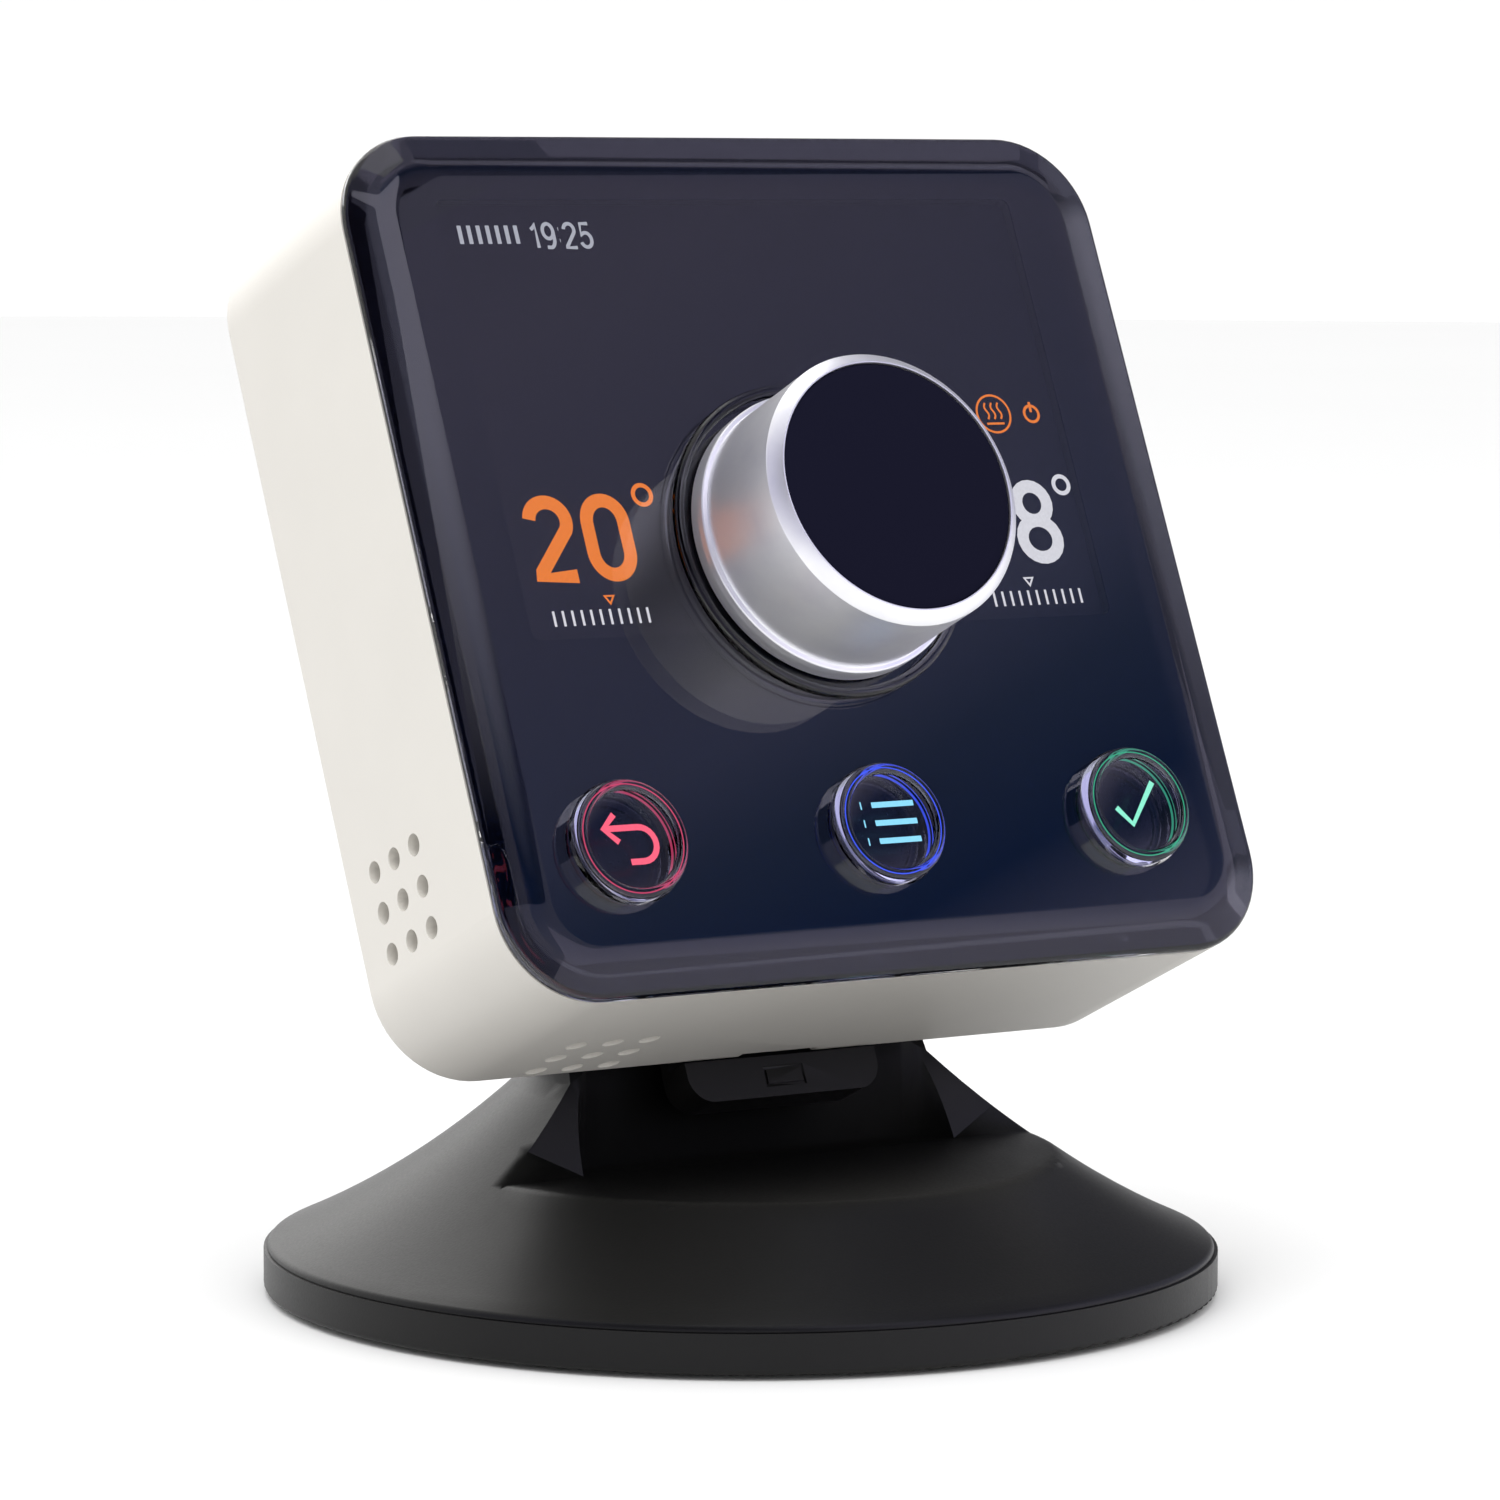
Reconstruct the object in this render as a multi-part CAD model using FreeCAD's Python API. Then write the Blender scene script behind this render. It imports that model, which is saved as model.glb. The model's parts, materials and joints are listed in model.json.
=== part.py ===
"""Wall thermostat on its desk stand, as an assembly of separate pieces.

Units are millimetres.  The row frame has its origin at the centre of the
foot pad's underside, +Z up, and the display looks towards -Y.  Head pieces
are drawn in the head frame: x to the right, y up the display, z out of it,
with its origin at the centre of the seam between lens and housing.
"""
import FreeCAD
import Part

import math
import os

V = FreeCAD.Vector

# ---------------------------------------------------------------- driving sizes
# Head
face = 96.0                # side of the square front
corner_r = 10.5            # corner radius of the front outline
housing_depth = 28.9       # seam to back face
wall = 2.0                 # housing wall
back_fillet = 1.4          # rounding of the housing's back edge
tilt = 24.3                # the front leans back by this many degrees
seam_gap = 0.15            # shadow line between lens and housing
print_film = 0.2           # printed film bonded behind the lens
lens_height = 2.6          # lens front above the seam
lens_edge_in = 4.2         # width of the lens's rounded border
lens_edge_down = 1.6       # drop of that border
lens_edge_round = 0.9      # rounding at the foot of the border
lens_crown_round = 9.0     # rounding where the border meets the flat front
film_inset = 0.1           # printed film inside the lens's outline
part_gap = 0.15            # assembly gap between still pieces
slide_gap = 0.25           # gap round pieces that move

# Display, its window and the frame behind the lens
window_w = 74.0
window_h = 49.6
window_y = 15.6            # centre of the window above the front's centre
window_corner = 1.0
glass_border = 1.0         # display glass hidden behind the frame, each side
glass_t = 1.8
backlight_t = 2.6
frame_t = 1.2              # front plate of the frame
frame_skirt_t = 1.5
flex_half = 9.0            # half the ribbon's width
flex_t = 0.2
flex_bow = 1.0             # how far the ribbon bows past the glass
flex_plug = 2.0            # plug's length on the board
flex_plug_h = 1.4

# Dial
dial_r = 15.3
dial_foot_step = 0.65      # foot ring beyond the dial's wall
dial_foot_h = 2.5
dial_foot_round = 0.3
dial_height = 16.5         # dial front above the lens
dial_wall = 1.45
dial_bevel = 1.25
dial_float = 0.35          # gap between dial and lens
collar_gap = 0.75          # gap round the dial's foot ring
collar_w = 1.2             # raised ring of the lens round the dial
collar_h = 0.9
collar_round = 0.45
cap_t = 1.4
cap_sunk = 0.15            # cap below the bevel's edge
cap_seam = 0.04
cap_round = 0.3
hub_web = 2.0
hub_ring = 1.6
hub_socket = 2.6           # socket wall round the shaft
hub_rib_t = 1.4
hub_rib_h = 5.0
shaft_r = 3.0
shaft_flat = 1.2           # depth of the shaft's flat
shaft_fit = 0.04
bush_r = 4.5
bush_out = 4.2             # encoder bush above the seam
encoder_w = 12.4
nut_corner_r = 6.6         # nut across its corners, halved
nut_h = 1.4

# Buttons
button_r = 6.5
button_pitch = 32.2
button_y = -32.0
button_out = 1.6           # cap above the lens
button_travel = 0.6
button_rim = 0.9
button_dish = 0.5
button_flange = 1.0
button_low = 0.8           # underside of the cap below the film's face
button_icon_t = 0.2
plunger_r = 4.6
plunger_foot_r = 1.6
plunger_foot_h = 1.6
switch_w = 6.0
switch_h = 2.6
switch_stem_r = 1.75
switch_stem_h = 0.7
lamp_w = 1.6
lamp_h = 1.2
lamp_t = 0.7

# Electronics
board_t = 1.6
board_z = -8.4             # front of the board
board_edge_gap = 1.0
post_high_y = 24.0         # upper and lower pair of board posts
post_low_y = -19.0
# Packages on the board's back: left, right, lower and upper side, height
packages = [(-12.0, -2.0, 33.0, 43.0, 1.2), (4.0, 11.0, 35.0, 42.0, 1.0),
            (-8.0, 0.0, -43.0, -35.0, 1.2), (6.0, 12.0, -42.0, -37.0, 1.4)]
radio_gap = 1.5            # battery bay to the radio module
radio_w = 11.0
radio_low = -6.0
radio_high = 14.0
radio_board_t = 0.8
radio_can_in = 0.8         # can inside its board's edge
radio_aerial = 6.0         # aerial stretch above the can
radio_can_t = 1.8
bead_r = 1.5
bead_drop = 5.6            # sensor bead behind the board
leg_t = 0.4
leg_pitch = 2.0
boss_r = 3.0
boss_sink = 3.0            # depth of the screw counterbores
boss_inset = 6.8           # screw boss centre in from the front outline
post_r = 2.3

# Batteries
cell_r = 7.15
cell_len = 49.2
cell_nub_r = 2.75
cell_nub = 1.3
cell_round = 0.6
cell_gap = 0.7             # between neighbouring cells
cell_recess = 0.5          # cells below the housing's back face
contact_room = 3.0         # room for a contact at each end
contact_t = 0.4
contact_half = 5.0         # half a contact plate's height
bay_gap = 0.5              # over the cells
bay_wall = 1.5
bay_low_gap = 3.6          # bay's lower wall above the housing's
leaf_t = 0.3               # leaf springs in the bay
leaf_w = 5.0
leaf_half = 4.6

# Vents
vent_r = 1.2
vent_pitch = 4.5
vent_rows = 3
side_vent_y = -30.6
side_vent_z = -17.2
under_vent_x = -27.1
under_vent_z = -21.1

# Mount plate and latch
plate_gap = 4.1            # seat of the stand to the head's back
plate_w = 74.0
plate_h = 70.0
plate_corner = 6.0
plate_web = 2.2
plate_rib = 1.8
bar_rise = 12.0            # stiffening bars above and below the plate's middle
bar_t = 1.4
wall_slot_in = 6.85        # slots for fixing the plate to a wall box, in from its sides
wall_slot_w = 4.5
wall_slot_h = 9.0
plate_low = 2.4            # plate's lower edge above the head's lower edge
peg_w = 8.0
peg_h = 5.0
peg_in = 2.6               # peg inside the housing
peg_side = 4.0             # peg's centre in from the plate's side
peg_end = 8.0              # and from its upper or lower edge
peg_lead = 0.6
tab_w = 24.6
tab_drop = 4.9             # tab below the head
tab_corner = 3.0
tab_front = 1.9            # tab in front of the head's back face
tab_gap = 0.35             # tab under the head
tab_wall = 1.6
tab_slot = 0.5             # beside the tab in the plate
latch_room = 9.0           # height of the plate's opening for the latch
catch_half = 5.0
barrel_r = 1.7
mark_w = 5.2               # sunk frame on the tab's face
mark_h = 2.3
mark_line = 0.35
mark_deep = 0.25
leaf_spring_half = 4.0

# Stand
rim_r = 52.4
rim_h = 4.3                # height of the lower ring
pad_t = 1.2                # foot pad
pad_show = 0.6             # foot pad below the cover
pad_inset = 5.0
cover_t = 2.2              # floor of the base cover
shell_wall = 2.4
lip_h = 1.6
shelf_z = 15.2
seat_foot_y = -6.3         # where the seat plane meets the shelf
head_clear = 10.2          # seat foot to the head's lower edge, up the seat
pocket_w = 48.4
pocket_depth = 6.1
pocket_corner = 7.0
shelf_blend = 2.5
seat_w = 54.0
seat_h = 40.0
seat_t = 5.0
seat_corner = 8.0
seat_low = 2.0             # seat pad above the plate's lower edge
seat_screw_side = 9.0      # plate screws in from the seat's sides
seat_screw_top = 7.0
seat_screw_low = 9.0
ballast_r = 28.0
ballast_h = 7.6
base_boss_r = 3.2
base_boss_circle = 35.5
ballast_edge = 0.8
ballast_rib_gap = 0.3
ballast_rib_t = 1.7
ballast_rib_h = 2.4
ballast_screw_in = 8.0     # ballast screws in from its edge
# Cone's concave flank
flank_step = 0.4           # foot of the flank in from the lower ring
flank_foot_z = 5.5
flank_top_r = 21.9
flank_top_z = 26.0
flank_sag = 1.757          # middle of the flank below a straight line
shoulder = 0.8             # rounding above the parting line
neck_r = 24.0              # neck where it leaves the cone
neck_z = 21.0

# Fasteners
screw_r = 1.25
screw_head_r = 2.3
screw_head_h = 1.5
small_screw_r = 0.9
small_head_r = 1.7
small_head_h = 1.0
screw_bite = 4.4           # plate screws into the seat

# ---------------------------------------------------------------- worked out
half = face / 2.0
lens_back = print_film
rim_top = pad_show + rim_h
back_z = -housing_depth
seat_z = back_z - plate_gap
plate_face_z = back_z - slide_gap
inner = face - 2.0 * wall
inner_r = corner_r - wall
frame_w = inner - 2.0 * part_gap
glass_w = window_w + 2.0 * glass_border
glass_h = window_h + 2.0 * glass_border
dial_foot_r = dial_r + dial_foot_step
collar_in_r = dial_foot_r + collar_gap
collar_out_r = collar_in_r + collar_w
notch_half = encoder_w / 2.0 + 1.4
dial_back = lens_height + dial_float
dial_front = lens_height + dial_height
board_back = board_z - board_t
cell_pitch = 2.0 * cell_r + cell_gap
bay_x = (cell_len + cell_nub) / 2.0 + contact_room
bay_y = 2.0 * cell_pitch + 0.3
bay_floor = back_z + cell_recess + 2.0 * cell_r + bay_gap
cell_z = back_z + cell_recess + cell_r
boss_xy = half - boss_inset
seam_back = -seam_gap
button_face = lens_height + button_out
plunger_end = board_z + switch_h + button_travel + 0.1
plate_bottom = -half + plate_low
plate_cy = plate_bottom + plate_h / 2.0
bay_cy = -half + wall + bay_low_gap + bay_wall + bay_y
peg_x = plate_w / 2.0 - peg_side
peg_rise = plate_h / 2.0 - peg_end
wall_slot_x = plate_w / 2.0 - wall_slot_in
flank_low = (rim_r - flank_step, flank_foot_z)
flank_high = (flank_top_r, flank_top_z)
hinge_y = plate_bottom + 1.5
hinge_z = seat_z + 1.9
hinge_r = 0.9
pin_fit = 0.05

TILT = math.radians(tilt)
UP = V(0, math.sin(TILT), math.cos(TILT))
OUT = V(0, -math.cos(TILT), math.sin(TILT))
SEAT_FOOT = V(0, seat_foot_y, shelf_z)
HEAD_ORIGIN = SEAT_FOOT + UP * (half + head_clear) + OUT * (plate_gap + housing_depth)
HEAD = FreeCAD.Placement(HEAD_ORIGIN, FreeCAD.Rotation(V(1, 0, 0), 90.0 - tilt))


# ---------------------------------------------------------------- helpers
def box(x0, x1, y0, y1, z0, z1):
    """Block between two corners."""
    return Part.makeBox(x1 - x0, y1 - y0, z1 - z0, V(x0, y0, z0))


def disc(radius, z0, z1, x=0.0, y=0.0):
    """Upright cylinder."""
    return Part.makeCylinder(radius, z1 - z0, V(x, y, z0))


def tube(r_out, r_in, z0, z1, x=0.0, y=0.0):
    """Upright ring."""
    return disc(r_out, z0, z1, x, y).cut(disc(r_in, z0 - 1, z1 + 1, x, y))


def slab(width, height, z0, z1, radius, x=0.0, y=0.0):
    """Plate with rounded corners, centred on x and y."""
    w = width / 2.0
    h = height / 2.0
    plate = box(x - w, x + w, y - h, y + h, z0, z1)
    corners = [e for e in plate.Edges if abs(e.BoundBox.ZLength - (z1 - z0)) < 1e-6]
    return plate.makeFillet(radius, corners)


def turned(points):
    """Solid of revolution about the z axis from (radius, height) points."""
    wire = Part.makePolygon([V(r, 0, z) for r, z in points + points[:1]])
    return Part.Face(wire).revolve(V(0, 0, 0), V(0, 0, 1), 360)


def union(first, others):
    """One solid out of several that touch."""
    for other in others:
        first = first.fuse(other)
    return first.removeSplitter()


def minus(shape, cutters):
    """Shape with every cutter taken away."""
    for cutter in cutters:
        shape = shape.cut(cutter)
    return shape


def edges_at(shape, z, tol=0.02):
    """Edges that lie in the plane at height z."""
    found = []
    for edge in shape.Edges:
        bounds = edge.BoundBox
        if abs(bounds.ZMin - z) < tol and abs(bounds.ZMax - z) < tol:
            found.append(edge)
    return found


def rim_edges(shape, z, reach, tol=0.02):
    """Edges at height z that reach at least this far from the centre line."""
    found = []
    for edge in edges_at(shape, z, tol):
        bounds = edge.BoundBox
        if max(abs(bounds.XMin), abs(bounds.XMax), abs(bounds.YMin), abs(bounds.YMax)) >= reach:
            found.append(edge)
    return found


def group(shapes):
    """Separate solids in one node."""
    return Part.makeCompound([s for shape in shapes for s in shape.Solids])


def save(name, shape, in_head=False):
    """Write one node, moved out of the head frame if it was drawn there."""
    shape = shape.copy()
    if in_head:
        shape.Placement = HEAD.multiply(shape.Placement)
    if not shape.isValid():
        print("NOT VALID", name)
    shape.exportStep("parts/" + name + ".step")
    print(name, len(shape.Solids), round(shape.Volume, 1))


def corners_xy(x, y):
    """Four points mirrored about both axes."""
    return [(sx * x, sy * y) for sx in (-1, 1) for sy in (-1, 1)]


def screw(x, y, z_head, z_tip, r=screw_r, head_r=screw_head_r, head_h=screw_head_h):
    """Cross-recessed pan screw.  The head is at z_head and the tip points to z_tip."""
    way = 1.0 if z_tip > z_head else -1.0
    head_base = z_head + way * head_h
    head = disc(head_r, min(z_head, head_base), max(z_head, head_base), x, y)
    outer = [e for e in edges_at(head, z_head)]
    head = head.makeFillet(0.4 * head_h, outer)
    shank = disc(r, min(head_base, z_tip), max(head_base, z_tip), x, y)
    deep = 0.55 * head_h
    low = min(z_head, z_head + way * deep)
    high = max(z_head, z_head + way * deep)
    arm = 0.62 * head_r
    slot_a = box(x - arm, x + arm, y - 0.25, y + 0.25, low, high)
    slot_b = box(x - 0.25, x + 0.25, y - arm, y + arm, low, high)
    return head.fuse(shank).cut(slot_a).cut(slot_b).removeSplitter()


# ---------------------------------------------------------------- head: front
def button_places():
    """Centres of the three buttons, left to right."""
    return [("back", -button_pitch), ("menu", 0.0), ("tick", button_pitch)]


def front_lens():
    """Clear moulded front with a rounded border, a dial collar and button holes."""
    plate = slab(face, face, lens_back, lens_height, corner_r)
    rim = rim_edges(plate, lens_height, half - corner_r - 0.01)
    lens = plate.makeChamfer(lens_edge_down, lens_edge_in, rim)
    side = edges_at(lens, lens_height - lens_edge_down)
    lens = lens.makeFillet(lens_edge_round, side)
    crown = rim_edges(lens, lens_height, half - corner_r - lens_edge_in - 0.01)
    lens = lens.makeFillet(lens_crown_round, crown)
    ring = tube(collar_out_r, collar_in_r, lens_height - 0.4, lens_height + collar_h)
    ring = ring.makeFillet(collar_round, edges_at(ring, lens_height + collar_h))
    lens = lens.fuse(ring)
    holes = [disc(bush_r + slide_gap, -1, lens_height + 1)]
    for _, x in button_places():
        holes.append(disc(button_r + slide_gap, -1, lens_height + 1, x, button_y))
    return minus(lens, holes).removeSplitter()


def lens_mask():
    """Printed film behind the lens, open over the display, buttons and dial."""
    side = face - 2.0 * film_inset
    film = slab(side, side, 0.0, print_film, corner_r - film_inset)
    holes = [slab(window_w, window_h, -1, 1, window_corner, 0, window_y)]
    holes.append(disc(bush_r + 2.0, -1, 1))
    for _, x in button_places():
        holes.append(disc(button_r + slide_gap, -1, 1, x, button_y))
    return minus(film, holes)


def front_frame():
    """Black chassis: front plate, skirt inside the housing, posts for the board."""
    skirt_back = board_z + 0.4
    frame = slab(frame_w, frame_w, skirt_back, seam_back + seam_gap, inner_r - part_gap)
    hollow_w = frame_w - 2.0 * frame_skirt_t
    hollow = slab(hollow_w, hollow_w, skirt_back - 1, -frame_t, inner_r - part_gap - frame_skirt_t)
    frame = frame.cut(hollow)
    posts = [disc(post_r, board_z, -frame_t + 0.1, x, y) for x, y in board_posts()]
    corners = corners_xy(boss_xy, boss_xy)
    bosses = [disc(boss_r, skirt_back, -frame_t + 0.1, x, y) for x, y in corners]
    frame = union(frame, posts + bosses)
    cutters = [slab(window_w, window_h, -frame_t - 1, 1, window_corner, 0, window_y)]
    cutters.append(disc(bush_r + slide_gap, -frame_t - 1, 1))
    for _, x in button_places():
        cutters.append(disc(button_r + button_flange + slide_gap, -frame_t - 1, 1, x, button_y))
    for x, y in board_posts():
        cutters.append(disc(small_screw_r, board_z - 1, -frame_t - 0.8, x, y))
    for x, y in corners_xy(boss_xy, boss_xy):
        cutters.append(disc(screw_r, skirt_back - 1, -frame_t - 1.0, x, y))
    return minus(frame, cutters)


def board_posts():
    """Where the frame carries the circuit board."""
    x = half - wall - part_gap - frame_skirt_t - post_r - 0.3
    return [(-x, post_high_y), (x, post_high_y), (-x, post_low_y), (x, post_low_y)]


def notched(z0, z1, width, height):
    """Display-sized plate with a notch for the encoder in its lower edge."""
    plate = slab(width, height, z0, z1, 0.8, 0, window_y)
    low = window_y - height / 2.0 - 1.0
    return plate.cut(box(-notch_half, notch_half, low, notch_half, z0 - 1, z1 + 1))


def lcd_panel():
    """Display glass."""
    return notched(-frame_t - glass_t, -frame_t, glass_w, glass_h)


def backlight():
    """Light box behind the glass."""
    top = -frame_t - glass_t
    return notched(top - backlight_t, top, glass_w, glass_h)


def display_flex():
    """Ribbon from the glass's top edge down to the board."""
    edge = window_y + glass_h / 2.0
    bow = edge + flex_bow
    top = -frame_t - 0.5
    low = board_z + flex_plug_h - 0.9
    w = flex_half
    plug_w = flex_half + 1.0
    outside = box(-w, w, edge, bow, low + flex_t, top)
    inside = box(-plug_w, plug_w, edge, bow - flex_t, low + flex_t + 0.1, top - flex_t)
    lead = box(-w, w, edge - 4.0, bow, low, low + flex_t)
    plug = box(-plug_w, plug_w, edge - 4.0 - flex_plug, edge - 4.0, board_z, board_z + flex_plug_h)
    return union(outside.cut(inside), [lead, plug])


# ---------------------------------------------------------------- head: housing
def cell_rows():
    """Heights of the four cells."""
    return [bay_cy + cell_pitch * (i - 1.5) for i in range(4)]


def peg_places():
    """Centres of the four pegs that locate the head on the plate."""
    return [(sx * peg_x, plate_cy + sy * peg_rise) for sx in (-1, 1) for sy in (-1, 1)]


def side_vents():
    """Round vents through the left wall."""
    holes = []
    for i in range(vent_rows):
        for j in range(vent_rows):
            y = side_vent_y + (i - 1) * vent_pitch
            z = side_vent_z + (j - 1) * vent_pitch
            holes.append(Part.makeCylinder(vent_r, wall + 2, V(-half - 1, y, z), V(1, 0, 0)))
    return holes


def under_vents():
    """Round vents through the lower wall."""
    holes = []
    for i in range(vent_rows):
        for j in range(vent_rows):
            x = under_vent_x + (i - 1) * vent_pitch
            z = under_vent_z + (j - 1) * vent_pitch
            holes.append(Part.makeCylinder(vent_r, wall + 2, V(x, -half - 1, z), V(0, 1, 0)))
    return holes


def rear_housing():
    """Off-white shell with the battery bay, bosses, vents and peg slots."""
    outer = slab(face, face, back_z, seam_back, corner_r)
    outer = outer.makeFillet(back_fillet, edges_at(outer, back_z))
    shell = outer.cut(slab(inner, inner, back_z + wall, 1, inner_r))
    bay_out = [box(-bay_x - bay_wall, bay_x + bay_wall, bay_cy - bay_y - bay_wall,
                   bay_cy + bay_y + bay_wall, back_z + 0.5 * wall, bay_floor + bay_wall)]
    boss_top = board_z + 0.4
    bosses = [disc(boss_r, back_z + 0.5 * wall, boss_top, x, y) for x, y in corners_xy(boss_xy, boss_xy)]
    shell = union(shell, bay_out + bosses)
    cutters = [box(-bay_x, bay_x, bay_cy - bay_y, bay_cy + bay_y, back_z - 1, bay_floor)]
    for x, y in corners_xy(boss_xy, boss_xy):
        cutters.append(disc(screw_head_r + part_gap, back_z - 1, back_z + boss_sink, x, y))
        cutters.append(disc(screw_r + part_gap, back_z, boss_top + 1, x, y))
    for x, y in peg_places():
        w = peg_w / 2.0 + slide_gap + 0.1
        h = peg_h / 2.0 + slide_gap + 0.1
        cutters.append(box(x - w, x + w, y - h, y + h, back_z - 1, back_z + wall + 1))
    catch_z = back_z + tab_front
    cutters.append(box(-catch_half, catch_half, -half - 1, -half + 0.8, catch_z - tab_wall, catch_z + 0.4))
    return minus(shell, cutters + side_vents() + under_vents())


def housing_screws():
    """Screws that draw the housing to the frame."""
    tip = -frame_t - 1.2
    head = back_z + boss_sink - screw_head_h
    return group([screw(x, y, head, tip) for x, y in corners_xy(boss_xy, boss_xy)])


# ---------------------------------------------------------------- head: inside
def main_board():
    """Circuit board with cut-outs for the housing's bosses."""
    w = inner - 2.0 * board_edge_gap
    board = slab(w, w, board_back, board_z, inner_r - board_edge_gap)
    cutters = []
    for x, y in corners_xy(boss_xy, boss_xy):
        cutters.append(disc(boss_r + 0.6, board_back - 1, board_z + 1, x, y))
        x0, x1 = sorted((x, 1.3 * x))
        y0, y1 = sorted((y, 1.3 * y))
        cutters.append(box(x0, x1, y0, y1, board_back - 1, board_z + 1))
    cutters += [disc(small_screw_r + 0.1, board_back - 1, board_z + 1, x, y) for x, y in board_posts()]
    return minus(board, cutters)


def board_screws():
    """Screws that hold the board to the frame."""
    head = board_back - small_head_h
    tip = board_z + 3.5
    sizes = (small_screw_r, small_head_r, small_head_h)
    return group([screw(x, y, head, tip, *sizes) for x, y in board_posts()])


def chips():
    """Processor, memory and driver packages on the back of the board."""
    return group([box(x0, x1, y0, y1, board_back - h, board_back) for x0, x1, y0, y1, h in packages])


def radio_module():
    """Shielded radio module with its aerial board."""
    x0 = bay_x + bay_wall + radio_gap
    x1 = x0 + radio_w
    top = board_back - radio_board_t
    carrier = box(x0, x1, radio_low, radio_high, top, board_back)
    can = box(x0 + radio_can_in, x1 - radio_can_in, radio_low + radio_can_in, radio_high - radio_aerial,
              top - radio_can_t, top)
    return union(carrier, [can])


def status_leds():
    """Lamps beside the switches that light the button icons."""
    pieces = []
    for _, x in button_places():
        for side in (-1, 1):
            cx = x + side * (switch_w / 2.0 + lamp_w)
            pieces.append(slab(lamp_w, lamp_h, board_z, board_z + lamp_t, 0.2, cx, button_y))
    return group(pieces)


def temperature_sensor():
    """Sensor bead on two legs beside the side vents."""
    x = -(half - wall - board_edge_gap - 1.8)
    y = side_vent_y
    t = leg_t / 2.0
    legs = []
    for side in (-1, 1):
        cx = x + side * leg_pitch / 2.0
        legs.append(box(cx - t, cx + t, y - t, y + t, board_back - bead_drop + 0.6, board_back))
    bead = Part.makeSphere(bead_r, V(x, y, board_back - bead_drop))
    return union(bead, legs)


def tact_switch(x):
    """Square switch under a button."""
    s = switch_w / 2.0
    top = board_z + switch_h
    body = box(x - s, x + s, button_y - s, button_y + s, board_z, top - switch_stem_h)
    return union(body, [disc(switch_stem_r, top - switch_stem_h - 0.1, top, x, button_y)])


def rotary_encoder():
    """Encoder body and threaded bush."""
    s = encoder_w / 2.0
    body = box(-s, s, -s, s, board_z, -frame_t)
    bush = disc(bush_r, -frame_t - 0.1, bush_out)
    return union(body, [bush]).cut(disc(shaft_r + shaft_fit, board_z + 1.0, bush_out + 1))


def encoder_nut():
    """Hexagon nut that clamps the encoder to the lens."""
    angles = [math.radians(60 * i) for i in range(7)]
    corners = [V(nut_corner_r * math.cos(a), nut_corner_r * math.sin(a), lens_height) for a in angles]
    nut = Part.Face(Part.makePolygon(corners)).extrude(V(0, 0, nut_h))
    return nut.cut(disc(bush_r, 0, lens_height + nut_h + 1))


def cell(y, turned_round):
    """One battery cell lying along x."""
    way = -1.0 if turned_round else 1.0
    along = V(way, 0, 0)
    start = V(-way * (cell_len + cell_nub) / 2.0, y, cell_z)
    can = Part.makeCylinder(cell_r, cell_len, start, along)
    can = can.makeFillet(cell_round, [e for e in can.Edges if isinstance(e.Curve, Part.Circle)])
    nub = Part.makeCylinder(cell_nub_r, cell_nub + 0.5, start + along * (cell_len - 0.5), along)
    return union(can, [nub])


def battery_plates():
    """Contact plates at both ends of the bay."""
    pieces = []
    rows = cell_rows()
    for side in (-1, 1):
        pairs = [(0, 1), (2, 3)] if side > 0 else [(1, 2), (0, 0), (3, 3)]
        for low, high in pairs:
            x0, x1 = sorted((side * bay_x, side * (bay_x - contact_t)))
            pieces.append(box(x0, x1, rows[low] - contact_half, rows[high] + contact_half,
                              cell_z - contact_half, cell_z + contact_half))
    return group(pieces)


def battery_springs():
    """Bent leaf spring at the flat end of every cell."""
    springs = []
    reach = contact_room - contact_t - part_gap
    t = leaf_t
    w = leaf_w / 2.0
    foot = leaf_half
    crown = 0.3 * leaf_half
    section = [(0, foot), (reach, crown), (reach, -crown), (0, -foot), (0, -foot + 2.0 * t)]
    section += [(reach - t, -crown + 0.3 * t), (reach - t, crown - 0.3 * t), (0, foot - 2.0 * t)]
    for index, y in enumerate(cell_rows()):
        side = 1.0 if index % 2 else -1.0
        x0 = side * (bay_x - contact_t)
        points = [V(x0 - side * x, y - w, cell_z + z) for x, z in section]
        leaf = Part.Face(Part.makePolygon(points + points[:1])).extrude(V(0, 2.0 * w, 0))
        springs.append(leaf)
    return group(springs)


# ---------------------------------------------------------------- buttons
def button_cap(x):
    """Clear cap with a raised rim and a retaining flange."""
    top = button_face
    low = lens_back - button_low
    shoulder = lens_back - slide_gap - 0.05
    flange_r = button_r + button_flange
    points = [(0.0, low), (flange_r, low), (flange_r, shoulder), (button_r, shoulder)]
    points += [(button_r, top - 0.4), (button_r - 0.25, top)]
    points += [(button_r - button_rim, top), (button_r - button_rim - 0.35, top - button_dish)]
    points += [(0.0, top - button_dish)]
    cap = turned(points)
    cap.translate(V(x, button_y, 0))
    return cap


def button_icon(x):
    """Film disc under the cap that carries the lit sign."""
    top = lens_back - button_low
    return disc(button_r + button_flange - 0.4, top - button_icon_t, top, x, button_y)


def button_plunger(x):
    """Light-guide plunger between film and switch."""
    top = lens_back - button_low - button_icon_t
    shoulder = plunger_end + plunger_foot_h
    body = disc(plunger_r, shoulder, top, x, button_y)
    return union(body, [disc(plunger_foot_r, plunger_end, shoulder + 0.1, x, button_y)])


# ---------------------------------------------------------------- dial
def dial_sleeve():
    """Aluminium cup wall with a foot ring and a bevelled front edge."""
    r_in = dial_r - dial_wall
    step = dial_back + dial_foot_h
    points = [(r_in, dial_back), (dial_foot_r - dial_foot_round, dial_back)]
    points += [(dial_foot_r, dial_back + dial_foot_round)]
    points += [(dial_foot_r, step - 0.25), (dial_foot_r - 0.25, step), (dial_r, step)]
    points += [(dial_r, dial_front - dial_bevel), (dial_r - dial_bevel, dial_front), (r_in, dial_front)]
    return turned(points)


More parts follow.
